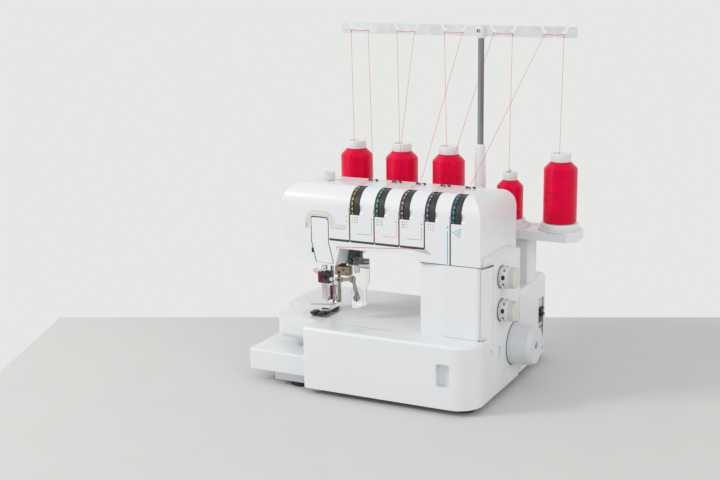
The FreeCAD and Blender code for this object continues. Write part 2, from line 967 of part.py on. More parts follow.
# Shoulder of the side cover that flares out under the end of the arm
shoulder_front = side_seam - s.shoulder_lead
shoulder_back = arm_back - s.wall
shoulder_base = s.side_cover_top - s.wall
shoulder_flare = prism(
    "shoulder_flare",
    "XZ_Plane",
    (
        (side_left, shoulder_base),
        (side_face, shoulder_base),
        (side_face, s.side_cover_top),
        (side_left, s.side_cover_top + s.shoulder_rise),
    ),
    (shoulder_front, shoulder_back),
)
shoulder_plan = prism(
    "shoulder_plan",
    "XY_Plane",
    (
        (side_left, shoulder_front),
        (side_face, shoulder_front + s.shoulder_sweep),
        (side_face, shoulder_back),
        (side_left, shoulder_back - s.shoulder_tail),
    ),
    (shoulder_base - s.wall, s.side_cover_top + s.shoulder_rise + s.wall),
)
shoulder = common("shoulder", shoulder_flare, shoulder_plan)
side_shell = cut("side_shell", side_block, side_room, shaft_hole, *stub_bores)
node("right_side_cover", fuse("right_side_cover", side_shell, shoulder))

# Cheek that fills the side between the column, the front cover and the side cover
cheek_block = prism(
    "cheek_block",
    "XY_Plane",
    ((side_left, cheek_front), (side_face, cheek_bend), (side_face, cheek_back), (side_left, cheek_back)),
    (s.free_arm_bottom, shoulder_base - s.seam_gap),
)
cheek_circle = rod(
    "cheek_circle",
    "x",
    (side_left - s.wall, hinge_y, hinge_z),
    swing_radius + s.cover_swing_gap,
    s.side_bulge + 2 * s.wall,
)
node("column_cheek", cut("column_cheek", cheek_block, cheek_circle))

# Stitch length and feed ratio dials, each with a stub in the side cover
for label, height in (
    ("stitch_length_dial", s.length_dial_height),
    ("feed_ratio_dial", s.feed_dial_height),
):
    profile = (
        (0, -s.wall - s.free_gap),
        (s.dial_stub_radius, -s.wall - s.free_gap),
        (s.dial_stub_radius, s.free_gap),
        (s.stitch_dial_radius, s.free_gap),
        (s.stitch_dial_radius, s.stitch_dial_length * 0.62),
        (s.stitch_dial_radius - s.wall / 2, s.stitch_dial_length * 0.66),
        (s.stitch_dial_radius - s.wall / 2, s.stitch_dial_length - s.wall / 2),
        (s.stitch_dial_radius - s.wall, s.stitch_dial_length),
        (0, s.stitch_dial_length),
    )
    node(label, turned(label, "x", (side_face, stitch_dial_y, height), profile))

# Rear block over the motor, with its switch panel, rocker and mains inlet
block_front = arm_back + s.seam_gap
block_bottom = s.foot_height + s.wall
block_outline = (
    (s.block_left_x, block_front),
    (block_right, block_front),
    (block_right, back),
    (s.block_left_x, back),
)
rear_block = prism(
    "rear_block",
    "XY_Plane",
    block_outline,
    (block_bottom, s.block_top),
    ((2, s.block_corner_round), (3, s.block_corner_round)),
)
soften(
    rear_block,
    s.block_edge_round,
    lambda edge: level(edge, 2, s.block_top) and edge.CenterOfMass.y > block_front.value + 1,
)
block_room_outline = (
    (s.block_left_x + s.wall, block_front - s.wall),
    (block_right - s.wall, block_front - s.wall),
    (block_right - s.wall, back - s.wall),
    (s.block_left_x + s.wall, back - s.wall),
)
block_room = prism(
    "block_room",
    "XY_Plane",
    block_room_outline,
    (block_bottom - s.wall, s.block_top - s.wall),
    ((2, s.block_corner_round - s.wall), (3, s.block_corner_round - s.wall)),
)
panel_back = back - s.block_corner_round - s.panel_inset
panel_front = panel_back - s.panel_width
panel_y = (panel_front + panel_back) / 2
panel_opening = box(
    "panel_opening",
    (block_right - 2 * s.wall, block_right + s.wall),
    (panel_front - s.seam_gap, panel_back + s.seam_gap),
    (s.panel_bottom - s.seam_gap, s.panel_top + s.seam_gap),
)
node("rear_block_cover", cut("rear_block_cover", rear_block, block_room, panel_opening))

panel_face = block_right - s.wall / 2
panel_rear = panel_face - s.panel_thickness
panel_blank = box(
    "panel_blank", (panel_rear, panel_face), (panel_front, panel_back), (s.panel_bottom, s.panel_top)
)


def panel_hole(name, middle_z, length, width, gap):
    return box(
        name,
        (panel_rear - s.wall, panel_face + s.wall),
        (panel_y - width / 2 - gap, panel_y + width / 2 + gap),
        (middle_z - length / 2 - gap, middle_z + length / 2 + gap),
    )


rocker_hole = panel_hole("rocker_hole", s.rocker_height, s.rocker_length, s.rocker_width, 2 * s.free_gap)
switch_frame = cut("switch_frame", panel_blank, rocker_hole)
rocker_pin = rod(
    "rocker_pin",
    "y",
    (panel_face - s.panel_thickness / 2, panel_y - s.rocker_width / 2 - 3 * s.free_gap, s.rocker_height),
    s.panel_thickness / 3,
    s.rocker_width + 6 * s.free_gap,
)

rocker_axis_x = panel_face - s.panel_thickness / 2
half_rocker = s.rocker_length / 2 - s.free_gap
rocker_outline = (
    (rocker_axis_x - s.wall, s.rocker_height - half_rocker),
    (panel_face, s.rocker_height - half_rocker),
    (panel_face + s.wall / 2, s.rocker_height),
    (panel_face + 1.6 * s.wall, s.rocker_height + half_rocker),
    (rocker_axis_x - s.wall, s.rocker_height + half_rocker),
)
rocker_block = prism(
    "rocker_block",
    "XZ_Plane",
    rocker_outline,
    (panel_y - s.rocker_width / 2, panel_y + s.rocker_width / 2),
)
rocker_bore = rod(
    "rocker_bore",
    "y",
    (rocker_axis_x, panel_y - s.rocker_width, s.rocker_height),
    s.panel_thickness / 3 + s.running_gap,
    2 * s.rocker_width,
)
node("power_rocker", cut("power_rocker", rocker_block, rocker_bore))

inlet_half = s.inlet_length / 2
inlet_block = box(
    "inlet_block",
    (panel_rear - 4 * s.panel_thickness, panel_face + s.free_gap),
    (panel_y - s.inlet_width / 2, panel_y + s.inlet_width / 2),
    (s.inlet_height - inlet_half, s.inlet_height + inlet_half),
)
inlet_well = box(
    "inlet_well",
    (panel_rear - 3 * s.panel_thickness, panel_face + s.wall),
    (panel_y - s.inlet_width / 2 + s.wall, panel_y + s.inlet_width / 2 - s.wall),
    (s.inlet_height - inlet_half + s.wall, s.inlet_height + inlet_half - s.wall),
)
inlet_pins = [
    rod(
        "inlet_pin_%d" % (index + 1),
        "x",
        (
            panel_rear - 3.5 * s.panel_thickness,
            panel_y,
            s.inlet_height + (index - 1) * s.inlet_length / 5,
        ),
        s.wall / 2,
        3 * s.panel_thickness,
    )
    for index in range(3)
]
panel_body = cut("panel_body", fuse("panel_joined", switch_frame, inlet_block), inlet_well)
node("switch_panel", fuse("switch_panel", panel_body, rocker_pin, *inlet_pins))

# Arm casing: the front view outline crossed with the side view profile, then hollowed and split
head_slant_top = s.head_bottom + s.head_slant_height


def arm_outline(inset, column_level):
    return (
        (s.head_foot_left_x + inset, s.head_bottom + inset),
        (s.head_foot_right_x - inset, s.head_bottom + inset),
        (s.underside_left_x - inset, s.arm_underside + inset),
        (s.column_left_x - 2 * s.wall + inset, s.arm_underside + inset),
        (s.column_left_x + inset, column_level),
        (s.arm_right_x - inset, column_level),
        (s.arm_right_x - inset, s.arm_top_front - inset),
        (s.head_left_x + inset, s.arm_top_front - inset),
        (s.head_left_x + inset, head_slant_top),
    )


def arm_profile(inset):
    return (
        (arm_front + inset, s.head_bottom - s.wall),
        (arm_back - inset, s.head_bottom - s.wall),
        (arm_back - inset, s.arm_top_back - inset),
        (arm_front + inset, s.arm_top_front - inset),
    )


def arm_solid(name, inset, column_level):
    end_round = s.arm_end_round - inset
    face = prism(
        name + "_face",
        "XZ_Plane",
        arm_outline(inset, column_level),
        (arm_front, arm_back),
        ((6, end_round), (7, end_round), (8, s.head_slant_round)),
    )
    side = prism(
        name + "_side",
        "YZ_Plane",
        arm_profile(inset),
        (s.head_left_x - s.wall, s.arm_right_x + s.wall),
        ((2, s.arm_back_round - inset), (3, s.arm_front_round - inset)),
    )
    return common(name, face, side)


arm_skin = cut(
    "arm_skin",
    arm_solid("arm_outside", as_size(0), s.column_top),
    arm_solid("arm_inside", s.wall, s.column_top - s.wall),
)
whole_arm = (
    (s.head_left_x - s.wall, s.arm_right_x + s.wall), (s.head_bottom - s.wall, s.arm_top_front + s.wall)
)
front_zone = box("front_zone", whole_arm[0], (arm_front - s.wall, arm_split), whole_arm[1])
rear_zone = box("rear_zone", whole_arm[0], (arm_split + s.seam_gap, arm_back + s.wall), whole_arm[1])
front_shell = common("arm_front_shell", arm_skin, front_zone)
rear_shell = common("arm_rear_shell", arm_skin, rear_zone)

dial_y = arm_front + s.dial_setback
dial_z = s.arm_top_front - s.dial_drop
arm_cuts = []
for index in range(5):
    window_x = s.dial_first_x + index * s.dial_pitch
    arm_cuts.append(
        rod(
            "dial_window_%d" % (index + 1),
            "x",
            (window_x, dial_y, dial_z),
            s.dial_radius + s.free_gap,
            s.dial_window_width,
        )
    )
    groove_bottom = s.column_top - s.wall if index == 4 else s.slot_height
    arm_cuts.append(
        box(
            "thread_groove_%d" % (index + 1),
            (window_x - s.groove_width, window_x + s.free_gap),
            (arm_front - s.wall, arm_front + s.groove_depth),
            (groove_bottom, dial_z),
        )
    )
    scoop_lift = s.dial_window_width * 0.85
    arm_cuts.append(
        ball(
            "finger_scoop_%d" % (index + 1),
            (window_x + s.dial_window_width, arm_front - scoop_lift, dial_z),
            scoop_lift + s.groove_depth,
        )
    )
slot_edges = [s.slot_left_x]
slot_edges += [s.dial_first_x + index * s.dial_pitch for index in range(3)]
slot_edges += [s.slot_right_x]
for index in range(4):
    arm_cuts.append(
        box(
            "thread_slot_%d" % (index + 1),
            (slot_edges[index] + s.slot_web / 2, slot_edges[index + 1] - s.slot_web / 2),
            (arm_front - s.wall, arm_front + s.groove_depth),
            (s.slot_height - s.slot_width / 2, s.slot_height + s.slot_width / 2),
        )
    )


def tongue_outline(gap, bottom):
    half = s.tongue_width / 2 + gap
    foot_x = s.tongue_x + s.tongue_lean
    return (
        (foot_x - half, bottom),
        (foot_x + half, bottom),
        (s.tongue_x + half, s.tongue_knee),
        (s.tongue_x + half, s.tongue_top + gap),
        (s.tongue_x - half, s.tongue_top + gap),
        (s.tongue_x - half, s.tongue_knee),
    )


def tongue_plate(name, gap, bottom, depth):
    knee_round = 8 * s.wall
    rounds = ((2, knee_round), (3, 2 * s.wall), (4, s.wall), (5, knee_round))
    return prism(name, "XZ_Plane", tongue_outline(gap, bottom), depth, rounds)


tongue_depth = (arm_front - s.wall, arm_front + 2 * s.wall)
arm_cuts.append(tongue_plate("tongue_opening", s.tongue_gap, s.head_bottom + s.wall, tongue_depth))
bar_room = s.clamp_width / 2 + s.wall
arm_cuts.append(
    box(
        "bar_opening",
        (s.needle_x - bar_room, s.needle_x + bar_room),
        (needle_y - bar_room, presser_y + bar_room),
        (s.head_bottom - s.wall, s.head_bottom + 2 * s.wall),
    )
)
arm_cuts.append(
    rod(
        "knob_hole",
        "z",
        (s.needle_x, presser_y, arm_top(presser_y) - 3 * s.wall),
        s.knob_screw_radius + s.running_gap,
        6 * s.wall,
    )
)
node("arm_front_cover", cut("arm_front_cover", front_shell, *arm_cuts))
tongue_bottom = s.head_bottom + s.wall + s.seam_gap
tongue_depth = (arm_front, arm_front + s.tongue_thickness)
node("take_up_cover", tongue_plate("take_up_cover", as_size(0), tongue_bottom, tongue_depth))

# Machine frame: post, arm beam, head plate with bar guides, and lower bearings
shaft_room = s.upper_shaft_radius + s.bush_wall + 2 * s.wall
main_room = s.main_shaft_radius + s.bush_wall + 2 * s.wall
crank_radius = s.needle_stroke / 2
post_right = s.post_left_x + s.post_width
post_front = upper_shaft_y - shaft_room
post_top = upper_shaft_z + shaft_room
head_plate_right = s.needle_x - s.head_plate_offset
head_plate_left = head_plate_right - s.head_plate_thickness
head_plate_top = upper_shaft_z - 2 * s.wall
yoke_back = upper_shaft_y + crank_radius + s.crank_pin_radius + 2 * s.wall
beam_front = yoke_back + 2 * s.free_gap
beam_back = beam_front + 3 * s.head_plate_thickness
guide_right = s.needle_x + s.yoke_offset - 3 * s.free_gap
lower_guide = (s.head_bottom + s.wall + s.seam_gap, s.head_bottom + 3 * s.wall + s.wall / 2)
upper_guide = (s.upper_guide_height, s.upper_guide_height + 3 * s.wall)
lever_y = arm_back - s.lever_radius - 1.6 * s.wall
beam_bottom = s.lever_height + s.lever_radius + 2 * s.wall
guide_front = needle_y - 2 * s.needle_bar_radius
guide_back = presser_y + 2 * s.presser_bar_radius
pedestal_x = s.looper_x + 4 * s.wall
pedestal = (pedestal_x, pedestal_x + s.bush_length)
bracket_x = s.looper_x + 3 * s.wall
bracket = (bracket_x, bracket_x + s.bush_length)
stud_back = main_shaft_y - main_room + s.wall
shelf_front = stud_back - 2 * s.bush_length
frame_parts = [
    box(
        "post",
        (s.post_left_x, post_right),
        (post_front, main_shaft_y + main_room),
        (pan_floor, s.column_top),
    ),
    box("post_head", (s.post_left_x, post_right), (post_front, beam_back), (s.column_top, post_top)),
    box("arm_beam", (head_plate_left, post_right), (beam_front, beam_back), (beam_bottom, post_top)),
    box(
        "plate_tie",
        (head_plate_left, head_plate_right),
        (beam_front, beam_back),
        (head_plate_top - 2 * s.wall, post_top),
    ),
    box(
        "head_plate",
        (head_plate_left, head_plate_right),
        (guide_front, arm_back - 1.6 * s.wall),
        (lower_guide[0], head_plate_top),
    ),
    box("lower_guide", (head_plate_left, guide_right), (guide_front, guide_back), lower_guide),
    box("upper_guide", (head_plate_left, guide_right), (guide_front, guide_back), upper_guide),
    rod(
        "lever_pin",
        "x",
        (head_plate_left, lever_y, s.lever_height),
        s.lever_pin_radius,
        20 * s.free_gap + 2 * s.head_plate_thickness,
    ),
    box(
        "shaft_bracket",
        bracket,
        (upper_shaft_y - shaft_room, beam_back),
        (upper_shaft_z - shaft_room, post_top),
    ),
    box(
        "pedestal",
        pedestal,
        (main_shaft_y - main_room, main_shaft_y + main_room),
        (pan_floor, s.main_shaft_height + main_room),
    ),
    box(
        "base_rail",
        (pedestal[0], post_right),
        (main_shaft_y - s.bush_length, main_shaft_y + s.bush_length),
        (pan_floor, pan_floor + s.bush_length),
    ),
    box(
        "feed_shelf",
        (s.needle_x - 2 * s.feed_bar_width, pedestal[1]),
        (shelf_front, stud_back + s.wall),
        (s.free_arm_bottom + s.wall + s.free_gap, carrier_bottom - s.seam_gap),
    ),
    rod(
        "looper_stud",
        "y",
        (s.looper_x, needle_y - s.needle_setback / 4, s.looper_height),
        s.lever_pin_radius,
        shelf_front - needle_y + s.needle_setback / 2,
    ),
]
upper_bore_radius = s.upper_shaft_radius + s.bush_wall
main_bore_radius = s.main_shaft_radius + s.bush_wall
frame_bores = [
    rod(
        "upper_bore",
        "x",
        (head_plate_left + s.bush_length, upper_shaft_y, upper_shaft_z),
        upper_bore_radius,
        s.overall_width,
    ),
    rod("main_bore", "x", (left, main_shaft_y, s.main_shaft_height), main_bore_radius, s.overall_width),
    rod(
        "needle_bar_bore",
        "z",
        (s.needle_x, needle_y, s.head_bottom),
        s.needle_bar_radius + s.running_gap,
        s.arm_depth,
    ),
    rod(
        "presser_bar_bore",
        "z",
        (s.needle_x, presser_y, s.head_bottom),
        s.presser_bar_radius + s.running_gap,
        s.arm_depth,
    ),
]
node("machine_frame", cut("machine_frame", fuse("frame_joined", *frame_parts), *frame_bores))


def bush(name, x, y, z, inner, outer):
    sleeve = rod(name + "_outside", "x", (x, y, z), outer, s.bush_length)
    bore = rod(
        name + "_inside", "x", (x - s.wall, y, z), inner + s.running_gap, s.bush_length + 2 * s.wall
    )
    return cut(name, sleeve, bore)


bush_x = post_right - s.bush_length
bushes = [
    bush("head_bush", bracket[0], upper_shaft_y, upper_shaft_z, s.upper_shaft_radius, upper_bore_radius),
    bush("upper_bush", bush_x, upper_shaft_y, upper_shaft_z, s.upper_shaft_radius, upper_bore_radius),
    bush(
        "pedestal_bush",
        pedestal[0],
        main_shaft_y,
        s.main_shaft_height,
        s.main_shaft_radius,
        main_bore_radius,
    ),
    bush("lower_bush", bush_x, main_shaft_y, s.main_shaft_height, s.main_shaft_radius, main_bore_radius),
]
node("shaft_bushes", group("shaft_bushes", *bushes))

# Upper shaft with its crank disc, and the pulley that turns it
yoke_left = s.needle_x + s.yoke_offset
yoke_right = yoke_left + s.yoke_width
disc_left = yoke_right + 3 * s.free_gap
shaft_left = disc_left + s.crank_disc_width - s.free_gap
timing_right = s.timing_pulley_x + s.pulley_width
pin_z = upper_shaft_z + crank_radius
upper_axis = (upper_shaft_y, upper_shaft_z)
upper_shaft = fuse(
    "upper_shaft",
    rod(
        "upper_rod",
        "x",
        (shaft_left, *upper_axis),
        s.upper_shaft_radius,
        timing_right + s.free_gap - shaft_left,
    ),
    rod("crank_disc", "x", (disc_left, *upper_axis), s.crank_disc_radius, s.crank_disc_width),
    rod(
        "crank_pin",
        "x",
        (yoke_right + s.free_gap, upper_shaft_y, pin_z),
        s.crank_pin_radius,
        s.crank_disc_width,
    ),
    rod("upper_pulley", "x", (s.timing_pulley_x, *upper_axis), s.timing_pulley_radius, s.pulley_width),
)
node("upper_shaft", upper_shaft)


# Lower shaft with its two pulleys, and the handwheel
main_axis = (main_shaft_y, s.main_shaft_height)
main_left = pedestal[0] - s.wall
shaft_end = side_face + s.handwheel_length / 2
main_shaft = fuse(
    "main_shaft",
    rod("main_rod", "x", (main_left, *main_axis), s.main_shaft_radius, shaft_end - main_left),
    rod("drive_wheel", "x", (s.drive_pulley_x, *main_axis), s.main_pulley_radius, s.pulley_width),
    rod("timing_wheel", "x", (s.timing_pulley_x, *main_axis), s.timing_pulley_radius, s.pulley_width),
)
node("main_shaft", main_shaft)
bore_end = s.handwheel_length / 2
wheel_profile = (
    (s.main_shaft_radius, s.free_gap),
    (s.handwheel_radius, s.free_gap),
    (s.handwheel_radius, s.handwheel_length * 0.2),
    (s.handwheel_front_radius, s.handwheel_length - 2 * s.wall),
    (s.handwheel_front_radius - s.wall, s.handwheel_length),
    (s.handwheel_radius * 0.22, s.handwheel_length),
    (s.handwheel_radius * 0.14, s.handwheel_length - s.wall),
    (0, s.handwheel_length - s.wall),
    (0, bore_end),
    (s.main_shaft_radius, bore_end),
)
node("handwheel", turned("handwheel", "x", (side_face, *main_axis), wheel_profile))

# Motor on its foot, with its own pulley
motor_axis = (motor_y, s.motor_height)
motor_right = s.drive_pulley_x - s.bush_length
motor_left = motor_right - s.motor_length
motor_can = turned(
    "motor_can",
    "x",
    (motor_left, *motor_axis),
    (
        (0, 0),
        (s.motor_radius * 0.6, 0),
        (s.motor_radius, s.motor_length * 0.12),
        (s.motor_radius, s.motor_length * 0.88),
        (s.motor_radius * 0.6, s.motor_length),
        (0, s.motor_length),
    ),
)
motor_foot = box(
    "motor_foot",
    (motor_left + s.motor_length / 4, motor_right - s.motor_length / 4),
    (motor_y - s.motor_radius / 2, motor_y + s.motor_radius / 2),
    (pan_floor, s.motor_height),
)
motor_bore = rod(
    "motor_bore",
    "x",
    (motor_right - s.motor_length / 3, *motor_axis),
    s.motor_shaft_radius + s.running_gap,
    s.motor_length,
)
node("motor", cut("motor", fuse("motor_body", motor_can, motor_foot), motor_bore))
motor_shaft_start = motor_right - s.motor_length / 3 + s.free_gap
motor_pulley = fuse(
    "motor_pulley",
    rod("motor_wheel", "x", (s.drive_pulley_x, *motor_axis), s.motor_pulley_radius, s.pulley_width),
    rod(
        "motor_shaft",
        "x",
        (motor_shaft_start, *motor_axis),
        s.motor_shaft_radius,
        s.drive_pulley_x + s.free_gap - motor_shaft_start,
    ),
)
node("motor_pulley", motor_pulley)


def belt_outline(first, first_radius, second, second_radius, x):
    # The outer line of a belt round two wheels: two arcs joined by their common tangents.
    gap = second - first
    lean = math.asin((first_radius - second_radius) / gap.Length)
    heading = math.atan2(gap.z, gap.y)

    def rim(centre, radius, angle):
        return FreeCAD.Vector(x, centre.y + radius * math.cos(angle), centre.z + radius * math.sin(angle))

    upper = heading + math.pi / 2 - lean
    lower = heading - math.pi / 2 + lean
    arcs = [
        Part.Arc(
            rim(first, first_radius, upper),
            rim(first, first_radius, heading + math.pi),
            rim(first, first_radius, lower),
        ),
        Part.Arc(
            rim(second, second_radius, lower),
            rim(second, second_radius, heading),
            rim(second, second_radius, upper),
        ),
    ]
    runs = [
        Part.LineSegment(rim(first, first_radius, lower), rim(second, second_radius, lower)),
        Part.LineSegment(rim(second, second_radius, upper), rim(first, first_radius, upper)),
    ]
    edges = [arcs[0].toShape(), runs[0].toShape(), arcs[1].toShape(), runs[1].toShape()]
    return Part.Face(Part.Wire(edges))


def belt(label, start, first_axis, first_radius, second_axis, second_radius):
    x = start.value
    first = FreeCAD.Vector(x, first_axis[0].value, first_axis[1].value)
    second = FreeCAD.Vector(x, second_axis[0].value, second_axis[1].value)
    gap = s.seam_gap.value
    width = FreeCAD.Vector(s.belt_width.value, 0, 0)
    loops = [
        belt_outline(first, first_radius.value + extra, second, second_radius.value + extra, x).extrude(
            width,
        )
        for extra in (gap, gap + s.belt_thickness.value)
    ]
    part = doc.addObject("Part::Feature", label)
    part.Shape = loops[1].cut(loops[0])
    node(label, part)


belt_inset = (s.pulley_width - s.belt_width) / 2
belt(
    "motor_belt",
    s.drive_pulley_x + belt_inset,
    main_axis,
    s.main_pulley_radius,
    motor_axis,
    s.motor_pulley_radius,
)
belt(
    "timing_belt",
    s.timing_pulley_x + belt_inset,
    main_axis,
    s.timing_pulley_radius,
    upper_axis,
    s.timing_pulley_radius,
)

# Needle bar with its slotted yoke for the crank pin, the clamp and three needles
needle_bar_bottom = s.clamp_bottom + s.wall
node(
    "needle_bar",
    rod(
        "needle_bar",
        "z",
        (s.needle_x, needle_y, needle_bar_bottom),
        s.needle_bar_radius,
        s.needle_bar_top - needle_bar_bottom,
    ),
)
yoke_half = s.crank_pin_radius + 1.2 * s.wall
yoke_z = (pin_z - yoke_half, pin_z + yoke_half)
yoke_boss = s.needle_bar_radius + s.wall
yoke_plate = box("yoke_plate", (yoke_left, yoke_right), (needle_y - yoke_boss, yoke_back), yoke_z)
yoke_block = box(
    "yoke_block",
    (s.needle_x - yoke_boss, yoke_left + s.free_gap),
    (needle_y - yoke_boss, needle_y + yoke_boss),
    yoke_z,
)
slot_half = s.crank_pin_radius + s.free_gap
yoke_slot = box(
    "yoke_slot",
    (yoke_left - s.wall, yoke_right + s.wall),
    (upper_shaft_y - crank_radius - slot_half, upper_shaft_y + crank_radius + slot_half),
    (pin_z - slot_half, pin_z + slot_half),
)
yoke_bore = rod(
    "yoke_bore", "z", (s.needle_x, needle_y, s.arm_underside), s.needle_bar_radius, s.arm_depth
)
node("needle_yoke", cut("needle_yoke", fuse("yoke_joined", yoke_plate, yoke_block), yoke_slot, yoke_bore))

clamp_top = s.clamp_bottom + s.clamp_height
clamp_block = box(
    "clamp_block",
    (s.needle_x - s.clamp_width / 2, s.needle_x + s.clamp_width / 2),
    (needle_y - s.clamp_depth / 2, needle_y + s.clamp_depth / 2),
    (s.clamp_bottom, clamp_top),
)
clamp_bar_bore = rod(
    "clamp_bar_bore", "z", (s.needle_x, needle_y, needle_bar_bottom), s.needle_bar_radius, s.clamp_height
)
needle_rods = []
needle_bores = []
for index in range(3):
    needle_at = s.needle_x + (index - 1) * s.needle_pitch
    shank_top = s.clamp_bottom + s.wall - s.free_gap
    profile = (
        (0, 0),
        (s.needle_radius, 4 * s.needle_radius),
        (s.needle_radius, s.clamp_bottom - s.needle_tip_height - s.clamp_depth),
        (1.6 * s.needle_radius, s.clamp_bottom - s.needle_tip_height - s.clamp_depth + s.wall),
        (1.6 * s.needle_radius, shank_top - s.needle_tip_height),
        (0, shank_top - s.needle_tip_height),
    )
    needle_rods.append(
        turned("needle_%d" % (index + 1), "z", (needle_at, needle_y, s.needle_tip_height), profile),
    )
    needle_bores.append(
        rod(
            "needle_hole_%d" % (index + 1),
            "z",
            (needle_at, needle_y, s.clamp_bottom - s.wall),
            1.6 * s.needle_radius,
            2 * s.wall - s.free_gap,
        )
    )
clamp_screw = rod(
    "clamp_screw",
    "y",
    (
        s.needle_x + s.clamp_width / 4,
        needle_y - s.clamp_depth / 2 - s.wall,
        s.clamp_bottom + s.clamp_height / 3,
    ),
    s.wall,
    2 * s.wall,
)
node(
    "needle_clamp",
    fuse("needle_clamp", cut("clamp_body", clamp_block, clamp_bar_bore, *needle_bores), clamp_screw),
)
node("needles", group("needles", *needle_rods))

# Presser bar with its collar, ankle and spring
spring_gap = s.sole_gap
screw_bottom = arm_top(presser_y) - 5 * s.wall
collar_top = screw_bottom - 2 * spring_gap - s.spring_length
bar_bottom = s.ankle_top - 2 * s.wall
node(
    "presser_bar",
    fuse(
        "presser_bar",
        rod(
            "presser_rod",
            "z",
            (s.needle_x, presser_y, bar_bottom),
            s.presser_bar_radius,
            collar_top - bar_bottom,
        ),
        rod(
            "presser_collar",
            "z",
            (s.needle_x, presser_y, collar_top - s.wall),
            s.presser_bar_radius + s.wall,
            s.wall,
        ),
    ),
)
ankle_block = box(
    "ankle_block",
    (s.needle_x - s.ankle_width / 2, s.needle_x + s.ankle_width / 2),
    (presser_y - s.ankle_depth / 2, presser_y + s.ankle_depth / 2),
    (s.ankle_bottom, s.ankle_top),
)
ankle_bore = rod(
    "ankle_bore", "z", (s.needle_x, presser_y, bar_bottom), s.presser_bar_radius, s.ankle_top
)
ankle_slot = box(
    "ankle_slot",
    (s.needle_x - s.ankle_width / 2 + s.wall, s.needle_x + s.ankle_width / 2 - s.wall),
    (presser_y - s.ankle_depth, presser_y + s.ankle_depth),
    (s.ankle_bottom - s.wall, bar_bottom - s.wall),
)
foot_pin_z = s.ankle_bottom + s.wall
foot_pin = rod(
    "foot_pin",
    "x",
    (s.needle_x - s.ankle_width / 2, presser_y, foot_pin_z),
    s.hinge_rod_radius / 2,
    s.ankle_width,
)
node("foot_ankle", fuse("foot_ankle", cut("ankle_body", ankle_block, ankle_bore, ankle_slot), foot_pin))
spring_bottom = collar_top + spring_gap
spring_disc = rod(
    "spring_disc",
    "z",
    (s.needle_x, presser_y, spring_bottom),
    s.presser_bar_radius + s.wall,
    s.spring_length,
)
spring_hole = rod(
    "spring_hole", "z", (s.needle_x, presser_y, spring_bottom - s.wall), s.presser_bar_radius, s.arm_depth
)
node("presser_spring", cut("presser_spring", spring_disc, spring_hole))

# Presser foot: a plate with a needle opening, an upturned toe and a relieved heel
sole = s.bed_height + s.sole_gap
foot_top = sole + s.foot_sole
toe = needle_y - s.foot_toe_reach
heel = needle_y + s.foot_heel_reach
foot_side = (
    (toe, sole + s.foot_sole * 0.6),
    (toe + s.foot_sole, sole),
    (presser_y, sole),
    (heel, sole + s.foot_sole / 2),
    (heel, foot_top),
    (toe + 2 * s.foot_sole, foot_top),
    (toe, foot_top + s.foot_sole / 4),
)
foot_blank = prism(
    "foot_blank", "YZ_Plane", foot_side, (s.needle_x - s.foot_width / 2, s.needle_x + s.foot_width / 2)
)
foot_ears = box(
    "foot_ears",
    (
        s.needle_x - s.ankle_width / 2 + s.wall + s.free_gap,
        s.needle_x + s.ankle_width / 2 - s.wall - s.free_gap,
    ),
    (presser_y - s.wall, presser_y + s.wall),
    (foot_top - s.free_gap, foot_pin_z + s.wall),
)
foot_opening = box(
    "foot_opening",
    (s.needle_x - 2 * s.needle_pitch, s.needle_x + 2 * s.needle_pitch),
    (needle_y - s.needle_pitch, needle_y + 1.5 * s.needle_pitch),
    (sole - s.wall, foot_top + 2 * s.wall),
)
toe_slot = box(
    "toe_slot",
    (s.needle_x - s.needle_pitch, s.needle_x + s.needle_pitch),
    (toe - s.wall, needle_y - 3 * s.needle_pitch),
    (sole - s.wall, foot_top + 2 * s.wall),
)
foot_pin_bore = rod(
    "foot_pin_bore",
    "x",
    (s.needle_x - s.foot_width, presser_y, foot_pin_z),
    s.hinge_rod_radius / 2 + s.running_gap,
    2 * s.foot_width,
)
node(
    "presser_foot",
    cut(
        "presser_foot", fuse("foot_joined", foot_blank, foot_ears), foot_opening, toe_slot, foot_pin_bore
    ),
)

# Lifter lever behind the head, and its slot in the rear cover
lever_left = head_plate_right + s.free_gap
lever_right = lever_left + 3 * s.wall + s.lever_radius
lever_hub = rod(
    "lever_hub", "x", (lever_left, lever_y, s.lever_height), s.lever_radius, lever_right - lever_left
)
lever_arm = box(
    "lever_arm",
    (lever_left, lever_right),
    (lever_y, lever_y + s.lever_reach),
    (s.lever_height - s.wall, s.lever_height + s.wall),
)
lever_grip = rod(
    "lever_grip",
    "x",
    (lever_left, lever_y + s.lever_reach, s.lever_height),
    1.6 * s.wall,
    lever_right - lever_left,
)
lever_bore = rod(
    "lever_bore",
    "x",
    (head_plate_left, lever_y, s.lever_height),
    s.lever_pin_radius + s.running_gap,
    s.overall_width,
)
node(
    "lifter_lever",
    cut("lifter_lever", fuse("lever_joined", lever_hub, lever_arm, lever_grip), lever_bore),
)
lever_slot = box(
    "lever_slot",
    (lever_left - s.wall, lever_right + s.wall),
    (arm_back - 2 * s.wall, arm_back + s.wall),
    (s.lever_height - 2 * s.wall, s.lever_height + s.lever_radius + 5 * s.wall),
)
node("arm_rear_cover", cut("arm_rear_cover", rear_shell, lever_slot))

# Screws of the rear cover
screw_heads = []
for index, spot in enumerate(
    (
        (s.head_left_x + s.arm_end_round / 2, s.arm_underside + s.arm_end_round),
        (s.arm_right_x - s.arm_end_round, s.arm_underside + s.arm_end_round),
        (s.block_left_x, s.arm_underside + s.wall + s.lever_radius),
    )
):
    screw_heads.append(
        rod("screw_%d" % (index + 1), "y", (spot[0], arm_back, spot[1]), 1.4 * s.wall, s.wall / 2),
    )
node("casing_screws", group("casing_screws", *screw_heads))

